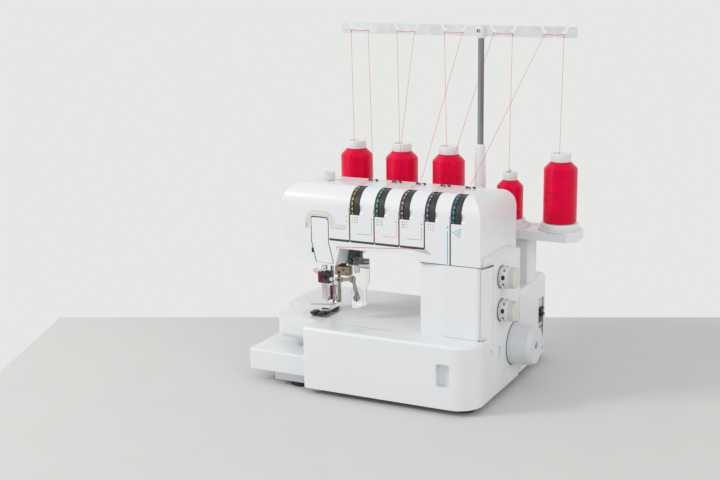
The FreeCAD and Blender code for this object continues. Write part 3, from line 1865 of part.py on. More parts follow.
# Pressure knob on the top of the head
knob_base = arm_top(presser_y - s.knob_radius) + s.seam_gap
knob_profile = (
    (0, screw_bottom - knob_base),
    (s.knob_screw_radius, screw_bottom - knob_base),
    (s.knob_screw_radius, 0),
    (s.knob_radius, 0),
    (s.knob_radius, s.knob_height - s.wall / 2),
    (s.knob_radius - s.wall / 2, s.knob_height),
    (0, s.knob_height),
)
node("pressure_knob", turned("pressure_knob", "z", (s.needle_x, presser_y, knob_base), knob_profile))

# Tension dials on one spindle, held by a bent bracket on the post
ear_left = s.dial_first_x - 3 * s.wall
last_window = s.dial_first_x + 4 * s.dial_pitch + s.dial_window_width
ear_right = last_window + 2 * s.wall
plate_rear = post_front
plate_face = plate_rear - s.wall
bracket_z = (dial_z - s.dial_spindle_radius - 2 * s.wall, dial_z + s.dial_spindle_radius + 2 * s.wall)
bracket_parts = [
    box("tension_back", (ear_left, ear_right + s.wall), (plate_face, plate_rear), bracket_z),
    box("tension_ear_left", (ear_left, ear_left + s.wall), (dial_y - 2 * s.wall, plate_rear), bracket_z),
    box(
        "tension_ear_right", (ear_right, ear_right + s.wall), (dial_y - 2 * s.wall, plate_rear), bracket_z
    ),
]
spindle = rod(
    "tension_spindle", "x", (ear_left, dial_y, dial_z), s.dial_spindle_radius, ear_right + s.wall - ear_left
)
node("tension_bracket", fuse("tension_bracket", spindle, *bracket_parts))
scale_width = s.dial_width * 0.36
for index in range(5):
    label = "tension_dial_%d" % (index + 1)
    window_x = s.dial_first_x + index * s.dial_pitch
    dial_left = window_x + (s.dial_window_width - s.dial_width) / 2
    bore = s.dial_spindle_radius + s.running_gap
    profile = (
        (bore, 0),
        (s.dial_radius - s.free_gap, 0),
        (s.dial_radius - s.free_gap, scale_width),
        (s.dial_radius - 4 * s.free_gap, scale_width),
        (s.dial_radius - 4 * s.free_gap, scale_width + s.groove_width),
        (s.dial_radius, scale_width + s.groove_width),
        (s.dial_radius, s.dial_width - s.free_gap),
        (s.dial_radius - s.free_gap, s.dial_width),
        (bore, s.dial_width),
    )
    node(label, turned(label, "x", (dial_left, dial_y, dial_z), profile))

# Thread guides along the top of the arm
guide_y = arm_split - 4 * s.wall
guides = []
for index in range(5):
    middle = s.dial_first_x + index * s.dial_pitch - 5 * s.groove_width
    lift = arm_top(guide_y) + s.seam_gap
    name = "guide_%d" % (index + 1)
    guide_half = s.dial_window_width / 2
    bar = box(
        name + "_bar",
        (middle - guide_half, middle + guide_half),
        (guide_y - s.groove_width / 2, guide_y + s.groove_width / 2),
        (lift + s.groove_depth, lift + 2 * s.groove_depth),
    )
    legs = [
        box(
            "%s_leg_%d" % (name, number),
            (at - s.groove_width, at + s.groove_width),
            (guide_y - s.groove_width, guide_y + s.groove_width),
            (lift, lift + 2 * s.groove_depth),
        )
        for number, at in enumerate((middle - guide_half / 2, middle + guide_half / 2))
    ]
    guides.append(fuse(name, bar, *legs))
node("top_thread_guides", group("top_thread_guides", *guides))

# Looper inside the free arm
looper_hub_start = needle_y - s.needle_setback / 4 + s.free_gap
looper_parts = [
    rod(
        "looper_hub",
        "y",
        (s.looper_x, looper_hub_start, s.looper_height),
        2 * s.lever_pin_radius,
        s.needle_setback / 3,
    ),
    box(
        "looper_blade",
        (s.needle_x - 2 * s.needle_pitch, s.looper_x),
        (looper_hub_start, looper_hub_start + s.needle_radius * 2),
        (s.looper_height + s.wall / 2, s.looper_height + 1.4 * s.wall),
    ),
]
looper_bore = rod(
    "looper_bore",
    "y",
    (s.looper_x, arm_front, s.looper_height),
    s.lever_pin_radius + s.running_gap,
    s.arm_depth,
)
node("looper", cut("looper", fuse("looper_joined", *looper_parts), looper_bore))

# Spreader beside the needles: bracket under the arm, brass block and swinging rod
bracket_right = s.bracket_left_x + s.bracket_width
spreader_y = needle_y
block_half = s.spreader_radius + 1.2 * s.wall
spreader_hanger = prism(
    "spreader_hanger",
    "XZ_Plane",
    (
        (s.bracket_left_x, s.bracket_bottom),
        (bracket_right - s.wall, s.bracket_bottom),
        (bracket_right, s.bracket_bottom + 4 * s.wall),
        (bracket_right, s.arm_underside),
        (s.bracket_left_x, s.arm_underside),
    ),
    (spreader_y - 1.4 * block_half, spreader_y + 1.4 * block_half),
    ((1, s.wall / 2),),
)
spreader_block_z = (s.bracket_bottom - 2 * s.wall, s.bracket_bottom + 2 * s.wall)
spreader_block = box(
    "spreader_blank",
    (s.spreader_x - block_half, s.bracket_left_x),
    (spreader_y - block_half, spreader_y + block_half),
    spreader_block_z,
)
spreader_bore = rod(
    "spreader_bore",
    "z",
    (s.spreader_x, spreader_y, s.spreader_tip_height),
    s.spreader_radius + s.running_gap,
    s.arm_depth,
)
node("spreader_block", cut("spreader_block", spreader_block, spreader_bore))
spreader_top = spreader_block_z[1] + s.wall
spreader_tip = s.needle_x + s.clamp_width / 2 + 3 * s.free_gap
node(
    "spreader",
    fuse(
        "spreader",
        rod(
            "spreader_rod",
            "z",
            (s.spreader_x, spreader_y, s.spreader_tip_height),
            s.spreader_radius,
            spreader_top - s.spreader_tip_height,
        ),
        rod(
            "spreader_cap",
            "z",
            (s.spreader_x, spreader_y, spreader_block_z[1] + s.seam_gap),
            1.6 * s.spreader_radius,
            s.wall,
        ),
        box(
            "spreader_hook",
            (spreader_tip, s.spreader_x),
            (spreader_y - s.spreader_radius / 2, spreader_y + s.spreader_radius / 2),
            (s.spreader_tip_height, s.spreader_tip_height + s.wall),
        ),
    ),
)

# Guard arms and the clear guard plate
arms_front = spreader_y - block_half - s.wall
arms = (arms_front, spreader_y - block_half)
disc_radius = 2 * s.wall
upper_disc = (s.bracket_left_x + s.bracket_width / 2, s.bracket_bottom - 1.6 * s.wall)
lower_disc = (upper_disc[0] + s.wall, s.guard_bottom + 5 * s.wall)
arm_bar = prism(
    "guard_bar",
    "XZ_Plane",
    (
        (s.bracket_left_x - 2 * s.wall, spreader_block_z[0]),
        (upper_disc[0], spreader_block_z[0]),
        (upper_disc[0], spreader_block_z[0] + 1.6 * s.wall),
        (s.bracket_left_x - 2 * s.wall, spreader_block_z[0] + 1.6 * s.wall),
    ),
    arms,
)
arm_strut = prism(
    "guard_strut",
    "XZ_Plane",
    (
        (lower_disc[0] - s.wall, lower_disc[1]),
        (lower_disc[0] + s.wall, lower_disc[1]),
        (upper_disc[0] + s.wall, upper_disc[1]),
        (upper_disc[0] - s.wall, upper_disc[1]),
    ),
    arms,
)
discs = [
    rod("guard_disc_%d" % (number + 1), "y", (spot[0], arms[0], spot[1]), disc_radius, s.wall)
    for number, spot in enumerate((upper_disc, lower_disc))
]
node("spreader_bracket", fuse("spreader_bracket", spreader_hanger, arm_bar, arm_strut, *discs))
guard_back = arms[0] - s.sole_gap
guard_middle = (s.guard_bottom + s.guard_top) / 2
node(
    "clear_guard",
    prism(
        "clear_guard",
        "XZ_Plane",
        (
            (s.guard_left_x + 2 * s.wall, s.guard_bottom + 2 * s.wall),
            (s.guard_left_x + 6 * s.wall, s.guard_bottom),
            (s.guard_right_x - s.wall, s.guard_bottom + 2 * s.wall),
            (s.guard_right_x - s.wall, guard_middle - 4 * s.wall),
            (s.guard_right_x, guard_middle + s.wall),
            (s.guard_right_x, s.guard_top),
            (s.bracket_left_x + 2 * s.wall, s.guard_top),
            (s.bracket_left_x + 2 * s.wall, s.guard_top - 8 * s.wall),
            (s.guard_left_x + 2 * s.wall, s.guard_top - 10 * s.wall),
        ),
        (guard_back - s.guard_thickness, guard_back),
        ((2, s.wall), (5, s.wall)),
    ),
)

# Lamp under the arm
lamp_left = s.guard_right_x + 2 * s.wall
node(
    "lamp_lens",
    box(
        "lamp_lens",
        (lamp_left, lamp_left + 10 * s.wall),
        (needle_y, needle_y + 4 * s.wall),
        (s.arm_underside - 1.2 * s.wall, s.arm_underside),
    ),
)

# Spool stand: tray on a stem, cushions, pins, spools and the thread mast
tray_front = tray_row_y - s.tray_depth / 2
tray_rear = tray_row_y + s.tray_depth / 2
tray_bottom = s.tray_top - s.tray_thickness
tray_corners = (
    (s.tray_left_x + s.tray_end_chamfer, tray_front),
    (right - s.tray_end_chamfer, tray_front),
    (right, tray_front + s.tray_end_chamfer),
    (right, tray_rear - s.tray_end_chamfer),
    (right - s.tray_end_chamfer, tray_rear),
    (s.tray_left_x + s.tray_end_chamfer, tray_rear),
    (s.tray_left_x, tray_rear - s.tray_end_chamfer),
    (s.tray_left_x, tray_front + s.tray_end_chamfer),
)
tray_slab = prism(
    "tray_slab",
    "XY_Plane",
    tray_corners,
    (tray_bottom, s.tray_top),
    [(index, 2 * s.wall) for index in range(8)],
)
soften(tray_slab, s.bed_edge_round, lambda edge: level(edge, 2, s.tray_top))
tray_underside = prism(
    "tray_underside",
    "XY_Plane",
    (
        (s.tray_left_x + s.tray_end_chamfer, tray_front + s.wall),
        (s.stem_left_x, tray_front + s.wall),
        (s.stem_left_x, tray_rear - s.wall),
        (s.tray_left_x + s.tray_end_chamfer, tray_rear - s.wall),
    ),
    (tray_bottom - s.wall, s.tray_top - s.wall),
)
stem_block = prism(
    "stem_block",
    "XY_Plane",
    (
        (s.stem_left_x, tray_row_y - s.stem_depth / 2),
        (s.stem_right_x, tray_row_y - s.stem_depth / 2),
        (s.stem_right_x, tray_row_y + s.stem_depth / 2),
        (s.stem_left_x, tray_row_y + s.stem_depth / 2),
    ),
    (s.block_top, s.tray_top - s.wall),
    [(index, 2 * s.wall) for index in range(4)],
)
mast_bottom = s.sleeve_top - s.mast_overlap
mast_well = rod(
    "mast_well",
    "z",
    (s.mast_x, tray_row_y, mast_bottom - s.mast_travel - s.wall),
    s.mast_radius + s.running_gap,
    s.tray_top,
)
stand = fuse("stand_joined", cut("tray_ribbed", tray_slab, tray_underside), stem_block)
spool_spots = [s.spool_first_x + index * s.spool_pitch for index in range(3)]
spool_spots += [s.spool_fourth_x, s.spool_fourth_x + s.spool_pitch]
pin_sink = 3 * s.wall
pin_holes = [
    rod(
        "pin_hole_%d" % (index + 1),
        "z",
        (spot, tray_row_y, s.tray_top - s.wall),
        s.spool_pin_radius,
        pin_sink,
    )
    for index, spot in enumerate(spool_spots)
]
node("spool_tray", cut("spool_tray", stand, mast_well, *pin_holes))

cushion_top = s.tray_top + s.cushion_height
cushions = []
pins = []
cores = []
packages = []
for index, spot in enumerate(spool_spots):
    small = index == 3
    radius = s.small_spool_radius if small else s.big_spool_radius
    height = s.small_spool_height if small else s.big_spool_height
    cap_radius = s.small_cap_radius if small else s.big_cap_radius
    cap_height = s.small_cap_height if small else s.big_cap_height
    name = "spool_%d" % (index + 1)
    at = (spot, tray_row_y, s.tray_top)
    spool_base = (spot, tray_row_y, cushion_top)
    cushions.append(
        turned(
            name + "_cushion",
            "z",
            at,
            (
                (0, 0),
                (s.cushion_radius, 0),
                (s.cushion_radius, s.cushion_height * 0.6),
                (s.cushion_radius - s.wall, s.cushion_height),
                (0, s.cushion_height),
            ),
        )
    )
    pin_length = s.wall + s.cushion_height + height + (cap_height + 2 * s.wall if small else -cap_height)
    pins.append(
        turned(
            name + "_pin",
            "z",
            (spot, tray_row_y, s.tray_top - s.wall),
            (
                (0, 0),
                (s.spool_pin_radius, 0),
                (s.spool_pin_radius, pin_length - s.wall),
                (s.spool_pin_radius / 2, pin_length),
                (0, pin_length),
            ),
        )
    )
    core_bore = s.spool_pin_radius + s.free_gap
    flange = radius - s.wall
    cores.append(
        turned(
            name + "_core",
            "z",
            spool_base,
            (
                (core_bore, 0),
                (flange, 0),
                (flange, s.wall),
                (s.core_radius, s.wall),
                (s.core_radius, height),
                (cap_radius, height),
                (cap_radius, height + cap_height - s.wall / 2),
                (cap_radius - s.wall / 2, height + cap_height),
                (core_bore, height + cap_height),
            ),
        )
    )
    packages.append(
        turned(
            name + "_package",
            "z",
            spool_base,
            (
                (s.core_radius, s.wall),
                (radius - s.wall / 2, s.wall),
                (radius, 2 * s.wall),
                (radius, height - 3 * s.wall),
                (cap_radius + s.wall, height - s.free_gap),
                (s.core_radius, height - s.free_gap),
            ),
        )
    )
seats = [fuse("seat_%d" % (index + 1), cushions[index], pins[index]) for index in range(5)]
node("spool_seats", group("spool_seats", *seats))
node("spool_cores", group("spool_cores", *cores))
node("thread_cones", group("thread_cones", *packages))

sleeve_bore = s.mast_radius + s.running_gap
sleeve_length = s.sleeve_top - s.tray_top
node(
    "mast_sleeve",
    turned(
        "mast_sleeve",
        "z",
        (s.mast_x, tray_row_y, s.tray_top),
        (
            (sleeve_bore, 0),
            (s.sleeve_foot_radius, 0),
            (s.sleeve_top_radius, sleeve_length - s.wall / 2),
            (s.sleeve_top_radius - s.wall / 2, sleeve_length),
            (sleeve_bore, sleeve_length),
        ),
    ),
)
rail_top = s.rail_bottom + s.rail_height
boss_bottom = s.rail_bottom - s.wall
node(
    "mast_tube",
    rod(
        "mast_tube",
        "z",
        (s.mast_x, tray_row_y, mast_bottom),
        s.mast_radius,
        boss_bottom + s.wall - mast_bottom,
    ),
)
rail_faces = (tray_row_y - s.rail_thickness / 2, tray_row_y + s.rail_thickness / 2)
rail_plate = prism(
    "rail_plate",
    "XZ_Plane",
    (
        (s.rail_left_x, s.rail_bottom),
        (s.rail_right_x, s.rail_bottom),
        (s.rail_right_x, rail_top),
        (s.rail_left_x, rail_top),
    ),
    rail_faces,
    [(index, s.rail_end_round) for index in range(4)],
)
# Thread notches in pairs above the spools; each pair leans towards its own middle.
notch_floor = s.rail_bottom + s.rail_height * 0.35
notches = []
notch_spots = []
for index in range(5):
    middle = s.notch_first_x + index * s.notch_pitch
    outlines = []
    for sign in (-1, 1):
        at = middle + sign * s.notch_reach
        notch_spots.append(at)
        top_at = at + sign * s.notch_lean
        outlines.append(
            (
                (at - s.wall / 2, notch_floor),
                (at + s.wall / 2, notch_floor),
                (top_at + s.wall, rail_top + s.wall),
                (top_at - s.wall, rail_top + s.wall),
            )
        )
    outlines.append(
        (
            (middle - 1.5 * s.wall, s.rail_bottom - s.wall / 2),
            (middle + 1.5 * s.wall, s.rail_bottom - s.wall / 2),
            (middle, s.rail_bottom + 1.5 * s.wall),
        )
    )
    for number, corners in enumerate(outlines):
        name = "rail_notch_%d_%d" % (index + 1, number + 1)
        notches.append(prism(name, "XZ_Plane", corners, (rail_faces[0] - s.wall, rail_faces[1] + s.wall)))
    for number, sign in enumerate((-1, 1)):
        eye_at = middle + sign * (s.notch_reach - s.notch_eye_radius / 2)
        eye_start = (eye_at, rail_faces[0] - s.wall, notch_floor + s.notch_eye_radius)
        name = "rail_eye_%d_%d" % (index + 1, number + 1)
        notches.append(rod(name, "y", eye_start, s.notch_eye_radius, s.rail_thickness + 2 * s.wall))
node("thread_rail", cut("thread_rail", rail_plate, *notches))
boss_blank = rod("boss_blank", "z", (s.mast_x, tray_row_y, boss_bottom), s.boss_radius, s.boss_height)
boss_slot = box(
    "boss_slot",
    (s.mast_x - 2 * s.boss_radius, s.mast_x + 2 * s.boss_radius),
    rail_faces,
    (s.rail_bottom, rail_top + s.boss_height),
)
boss_bore = rod("boss_bore", "z", (s.mast_x, tray_row_y, boss_bottom - s.wall), s.mast_radius, 2 * s.wall)
node("rail_boss", cut("rail_boss", boss_blank, boss_slot, boss_bore))

# Threads: from each spool up to the rail, and from the rail down to the guides on the arm
thread_lift = s.sole_gap + s.thread_radius


def thread(name, start, end):
    path = FreeCAD.Vector(*(length.value for length in map(as_size, start)))
    aim = FreeCAD.Vector(*(length.value for length in map(as_size, end))) - path
    part = doc.addObject("Part::Feature", name)
    part.Shape = Part.makeCylinder(s.thread_radius.value, aim.Length, path, aim)
    return part


rising = []
falling = []
rail_front = rail_faces[0] - thread_lift
for index, spot in enumerate(spool_spots):
    small = index == 3
    big_top = s.big_spool_height + s.big_cap_height
    small_top = s.small_spool_height + s.small_cap_height
    cap_top = cushion_top + (small_top if small else big_top)
    cap_radius = s.small_cap_radius if small else s.big_cap_radius
    up_notch, down_notch = notch_spots[2 * index:2 * index + 2]
    if index > 2:
        up_notch, down_notch = down_notch, up_notch
    rising.append(
        thread(
            "rising_thread_%d" % (index + 1),
            (spot, tray_row_y - cap_radius / 2, cap_top + thread_lift),
            (up_notch, rail_front, notch_floor),
        )
    )
    guide_x = s.dial_first_x + index * s.dial_pitch - 5 * s.groove_width
    falling.append(
        thread(
            "falling_thread_%d" % (index + 1),
            (down_notch, rail_front, notch_floor),
            (guide_x, guide_y, arm_top(guide_y) + s.seam_gap + 2 * s.groove_depth + thread_lift),
        )
    )
node("threads", group("threads", *rising, *falling))

# Check the model, then write one file for each piece
doc.recompute()
faults = [item.Name for item in doc.Objects if "Invalid" in item.State or "Error" in item.State]
for label, part in nodes.items():
    if part.Shape.isNull() or not part.Shape.isValid() or not part.Shape.Solids:
        faults.append(label)
if faults:
    raise RuntimeError("these pieces failed: " + ", ".join(faults))
os.makedirs("parts", exist_ok=True)
for label, part in nodes.items():
    part.Shape.exportStep("parts/%s.step" % label)
print(len(nodes), "pieces written")
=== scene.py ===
import bpy
import json
import math
from mathutils import Matrix, Vector


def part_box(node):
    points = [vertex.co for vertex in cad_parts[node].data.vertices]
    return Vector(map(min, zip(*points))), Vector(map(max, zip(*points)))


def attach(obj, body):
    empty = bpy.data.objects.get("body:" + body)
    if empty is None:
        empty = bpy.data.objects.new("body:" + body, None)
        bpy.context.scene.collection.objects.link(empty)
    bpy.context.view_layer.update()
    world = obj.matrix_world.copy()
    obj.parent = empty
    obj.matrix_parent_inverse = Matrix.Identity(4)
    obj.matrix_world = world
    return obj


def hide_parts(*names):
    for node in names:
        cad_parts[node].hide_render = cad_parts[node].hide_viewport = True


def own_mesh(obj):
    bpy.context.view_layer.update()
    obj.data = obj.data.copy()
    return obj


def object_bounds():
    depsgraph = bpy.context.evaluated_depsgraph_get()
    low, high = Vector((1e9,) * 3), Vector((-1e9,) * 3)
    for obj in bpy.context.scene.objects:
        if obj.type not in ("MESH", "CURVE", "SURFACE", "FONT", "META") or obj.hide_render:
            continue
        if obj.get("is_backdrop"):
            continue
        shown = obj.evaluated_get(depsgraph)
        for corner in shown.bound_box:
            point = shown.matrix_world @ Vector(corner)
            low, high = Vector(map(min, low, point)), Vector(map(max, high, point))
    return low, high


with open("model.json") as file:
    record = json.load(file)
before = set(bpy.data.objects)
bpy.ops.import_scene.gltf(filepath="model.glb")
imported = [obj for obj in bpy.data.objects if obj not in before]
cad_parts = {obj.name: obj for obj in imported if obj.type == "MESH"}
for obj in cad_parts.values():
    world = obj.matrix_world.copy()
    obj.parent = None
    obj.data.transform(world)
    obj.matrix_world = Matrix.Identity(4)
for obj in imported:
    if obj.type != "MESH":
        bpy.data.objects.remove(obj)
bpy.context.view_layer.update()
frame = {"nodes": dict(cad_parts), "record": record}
print("frame loaded:", len(frame["nodes"]), "nodes")

mm = 0.001  # sizes of pieces are written in millimetres
nearness = 1e-6  # points nearer than this count as one level or one point
edgeReach = 0.1  # how far beyond its line an edge is looked for
flatness = 0.99  # a face whose normal agrees this far with a direction faces it
smoothAngle = 35  # edges sharper than this stay edges
scene = bpy.context.scene

# camera where the photographer stood, in metres and degrees
cameraStand = {
    "place": (0.648, -1.3972, 0.5384),
    "turn": 23.91,
    "dip": 12.89,
    "lens": 59.0,
    "sensor": 36,
    "shift": -80 / 720,
}
bpy.ops.object.camera_add(
    location=cameraStand["place"],
    rotation=(math.radians(90 - cameraStand["dip"]), 0, math.radians(cameraStand["turn"])),
)
camera = bpy.context.object
camera.name = "studioCamera"
camera.data.lens = cameraStand["lens"]
camera.data.sensor_width = cameraStand["sensor"]
camera.data.shift_x = cameraStand["shift"]
scene.camera = camera
print("camera set")


def enterEdit():
    bpy.ops.object.mode_set(mode="EDIT")


def leaveEdit():
    bpy.ops.object.mode_set(mode="OBJECT")


def clearPick():
    if bpy.context.mode != "OBJECT":
        leaveEdit()
    bpy.ops.object.select_all(action="DESELECT")


def pick(*pieces):
    clearPick()
    for piece in pieces:
        piece.select_set(True)
    bpy.context.view_layer.objects.active = pieces[0]
    return pieces[0]


def settle(piece):
    # put the place, turn and scale into the mesh
    pick(piece)
    bpy.ops.object.transform_apply(location=True, rotation=True, scale=True)
    return piece


def shift(spot, step):
    return [a + b for a, b in zip(spot, step)]


def startBlock(low, high):
    clearPick()
    middle = [(a + b) / 2 * mm for a, b in zip(low, high)]
    bpy.ops.mesh.primitive_cube_add(size=1, location=middle)
    block = bpy.context.object
    block.scale = [(b - a) * mm for a, b in zip(low, high)]
    return settle(block)


axisTurns = {"x": (0, math.pi / 2, 0), "y": (-math.pi / 2, 0, 0), "z": (0, 0, 0)}


def startDrum(centre, radius, depth, axis, sides):
    clearPick()
    bpy.ops.mesh.primitive_cylinder_add(
        vertices=sides,
        radius=radius * mm,
        depth=depth * mm,
        location=[c * mm for c in centre],
        rotation=axisTurns[axis],
    )
    return settle(bpy.context.object)


def standDrum(spot, bottom, top, radius, sides):
    # an upright drum between two levels
    return startDrum((*spot, (bottom + top) / 2), radius, top - bottom, "z", sides)


def lieDrum(spot, reach, radius, sides):
    # a drum along X between two distances
    return startDrum((sum(reach) / 2, *spot), radius, reach[1] - reach[0], "x", sides)


def startChoice(piece, kind):
    pick(piece)
    enterEdit()
    bpy.ops.mesh.select_mode(type=kind)
    bpy.ops.mesh.select_all(action="DESELECT")
    leaveEdit()


def chooseFaces(piece, test):
    # leaves the piece in edit mode with the wanted faces selected
    startChoice(piece, "FACE")
    for face in piece.data.polygons:
        face.select = test(face)
    enterEdit()


def chooseEdges(piece, test):
    startChoice(piece, "EDGE")
    points = piece.data.vertices
    for edge in piece.data.edges:
        edge.select = test(*[points[end].co for end in edge.vertices])
    enterEdit()


facing = {"right": (1, 0, 0), "front": (0, -1, 0), "up": (0, 0, 1)}


def sinkFace(piece, side, rim, depth):
    # sink the flat face on one side of the piece, inside a rim
    way = Vector(facing[side])
    chooseFaces(piece, lambda face: face.normal.dot(way) > flatness)
    bpy.ops.mesh.inset(thickness=rim * mm)
    bpy.ops.mesh.extrude_region_move(TRANSFORM_OT_translate={"value": way * -depth * mm})
    leaveEdit()
    return piece


def ribSides(piece, axis, inset, depth):
    # sink every second side face of a drum
    chooseFaces(piece, lambda face: abs(face.normal[axis]) < 1 - flatness and face.index % 2 == 0)
    bpy.ops.mesh.inset(thickness=inset * mm, use_individual=True)
    bpy.ops.transform.shrink_fatten(value=-depth * mm)
    leaveEdit()


def bevelEdges(piece, test, offset, segments):
    chooseEdges(piece, test)
    bpy.ops.mesh.bevel(offset=offset * mm, segments=segments, affect="EDGES")
    leaveEdit()


def softenLoop(piece, height, offset, segments, axis=2):
    # round the rim of a turned piece at one level
    level = height * mm
    bevelEdges(
        piece, lambda *ends: all(abs(end[axis] - level) < nearness for end in ends), offset, segments
    )


def roundEdges(piece, width, segments=2):
    # a bevel on every edge sharper than the smoothing angle
    pick(piece)
    bevel = piece.modifiers.new("roundEdges", "BEVEL")
    bevel.width = width * mm
    bevel.segments = segments
    bevel.limit_method = "ANGLE"
    bevel.angle_limit = math.radians(smoothAngle)
    bpy.ops.object.modifier_apply(modifier=bevel.name)
    return piece


def roundBlock(low, high, width, segments=2):
    return roundEdges(startBlock(low, high), width, segments)


def roundDrum(centre, radius, depth, axis, sides, width):
    return roundEdges(startDrum(centre, radius, depth, axis, sides), width)


def slideEdges(piece, test, reach):
    # slide the chosen edges of a piece along Y
    chooseEdges(piece, test)
    bpy.ops.transform.translate(value=(0, reach * mm, 0))
    leaveEdit()


def dress(name, pieces, finish, body, stands=None, angle=smoothAngle):
    # join pieces under one name, with their finish, body and the CAD node that they stand for
    piece = pick(*pieces)
    if len(pieces) > 1:
        bpy.ops.object.join()
    piece.name = name
    piece.data.materials.clear()
    piece.data.materials.append(finishes[finish])
    bpy.ops.object.shade_smooth_by_angle(angle=math.radians(angle))
    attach(piece, body)
    if stands:
        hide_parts(stands)
    return piece


def blackTrim(name, *pieces):
    # black pieces of painted shade in gaps, holes, slots and seams of the fixed body, and small black
    # fittings
    dress(name, pieces, "inkBlack", "base")


def threadTrim(name, body, *pieces):
    return dress(name, pieces, "crimsonThread", body, angle=80)


def startCurve(kind, points, flat=False):
    clearPick()
    line = bpy.data.curves.new("line", "CURVE")
    line.dimensions = "2D" if flat else "3D"
    spline = line.splines.new(kind)
    spline.points.add(len(points) - 1)
    for point, spot in zip(spline.points, points):
        point.co = (*[v * mm for v in spot], 1)
    run = bpy.data.objects.new("line", line)
    scene.collection.objects.link(run)
    return run


def smoothLine(points):
    # one smooth curve with the given points as its control points
    run = startCurve("NURBS", points)
    spline = run.data.splines[0]
    spline.order_u = 3
    spline.use_endpoint_u = True
    run.data.resolution_u = 6
    return run


def makeMesh(run):
    pick(run)
    bpy.ops.object.convert(target="MESH")
    return bpy.context.object


def thicken(run, radius, sides):
    run.data.bevel_depth = radius * mm
    run.data.bevel_resolution = sides
    run.data.use_fill_caps = True
    return makeMesh(run)


def layTube(points, radius, sides=3):
    # a bent wire or a short thread along smooth points
    return thicken(smoothLine(points), radius, sides)


def standProfile(points, depth, softness=0):
    # an upright plate from its front outline
    plate = startCurve("POLY", [(x, z, 0) for x, z in points], flat=True)
    plate.data.fill_mode = "BOTH"
    plate.data.splines[0].use_cyclic_u = True
    plate.data.extrude = (depth[1] - depth[0]) / 2 * mm
    plate = makeMesh(plate)
    plate.rotation_euler.x = math.pi / 2
    plate.location.y = sum(depth) / 2 * mm
    settle(plate)
    enterEdit()
    bpy.ops.mesh.select_all(action="SELECT")
    bpy.ops.mesh.remove_doubles(threshold=nearness)
    bpy.ops.mesh.normals_make_consistent(inside=False)
    leaveEdit()
    return roundEdges(plate, softness) if softness else plate


# shared shader groups
def feed(tree, socket, value):
    # a number or colour is set on the socket, an output is linked to it
    if isinstance(value, (int, float, tuple)):
        socket.default_value = value
    else:
        tree.links.new(value, socket)


def feedAll(tree, node, values):
    for label, value in values.items():
        feed(tree, node.inputs[label], value)


def startGroup(name, inputs):
    # a group with the given inputs that puts out a colour, a roughness and a normal
    group = bpy.data.node_groups.new(name, "ShaderNodeTree")
    kinds = {3: "Vector", 4: "Color"}
    for label, value in inputs.items():
        kind = kinds[len(value)] if isinstance(value, tuple) else "Float"
        socket = group.interface.new_socket(label, in_out="INPUT", socket_type="NodeSocket" + kind)
        socket.default_value = value
    for label, kind in (("Color", "Color"), ("Roughness", "Float"), ("Normal", "Vector")):
        group.interface.new_socket(label, in_out="OUTPUT", socket_type="NodeSocket" + kind)
    given = group.nodes.new("NodeGroupInput").outputs
    result = group.nodes.new("NodeGroupOutput")
    return group, given, result, group.nodes.new("ShaderNodeTexCoord").outputs["Object"]


def addNoise(group, where, scale, detail):
    noise = group.nodes.new("ShaderNodeTexNoise")
    feedAll(group, noise, {"Vector": where, "Scale": scale, "Detail": detail, "Roughness": 0.55})
    return noise.outputs["Fac"]


def addRange(group, value, low, high):
    # spread the middle part of a noise between two values
    spread = group.nodes.new("ShaderNodeMapRange")
    feedAll(group, spread, {"Value": value, "From Min": 0.3, "From Max": 0.7, "To Min": low, "To Max": high})
    return spread.outputs["Result"]


def addMath(tree, kind, *values):
    step = tree.nodes.new("ShaderNodeMath")
    step.operation = kind
    for socket, value in zip(step.inputs, values):
        feed(tree, socket, value)
    return step.outputs[0]


def addStretch(group, where, factors):
    stretch = group.nodes.new("ShaderNodeVectorMath")
    stretch.operation = "MULTIPLY"
    feed(group, stretch.inputs[0], where)
    feed(group, stretch.inputs[1], factors)
    return stretch.outputs[0]


def addMix(group, blend, *values):
    mix = group.nodes.new("ShaderNodeMix")
    mix.data_type = "RGBA"
    mix.blend_type = blend
    for socket, value in zip([s for s in mix.inputs if s.enabled], values):
        feed(group, socket, value)
    return [s for s in mix.outputs if s.enabled][0]


def addDrift(group, given, pattern):
    # the tone, darkened in places by the given drift
    darkest = addMath(group, "SUBTRACT", 1.0, given["Drift"])
    shade = addRange(group, pattern, darkest, 1.0)
    grey = group.nodes.new("ShaderNodeCombineColor")
    feedAll(group, grey, {"Red": shade, "Green": shade, "Blue": shade})
    return addMix(group, "MULTIPLY", 1.0, given["Tone"], grey.outputs["Color"])


def addGloss(group, given, pattern):
    dullest = addMath(group, "ADD", given["Gloss"], given["Smudge"])
    return addRange(group, pattern, given["Gloss"], dullest)


def addBump(group, strength, distance, height):
    bump = group.nodes.new("ShaderNodeBump")
    feedAll(group, bump, {"Strength": strength, "Distance": distance, "Height": height})
    return bump.outputs["Normal"]


def makeMouldedSkin():
    # moulded plastic: faint drift of colour, handling smudges in the gloss and a fine orange peel
    group, given, result, where = startGroup("mouldedSkin", {
        "Tone": (0.8, 0.8, 0.8, 1),
        "Drift": 0.03,
        "Gloss": 0.25,
        "Smudge": 0.08,
        "Peel Size": 900.0,
        "Peel": 0.02,
    })
    peel = addNoise(group, where, given["Peel Size"], 2.0)
    feedAll(group, result, {
        "Color": addDrift(group, given, addNoise(group, where, 14.0, 3.0)),
        "Roughness": addGloss(group, given, addNoise(group, where, 90.0, 4.0)),
        "Normal": addBump(group, given["Peel"], 0.0002, peel),
    })
    return group


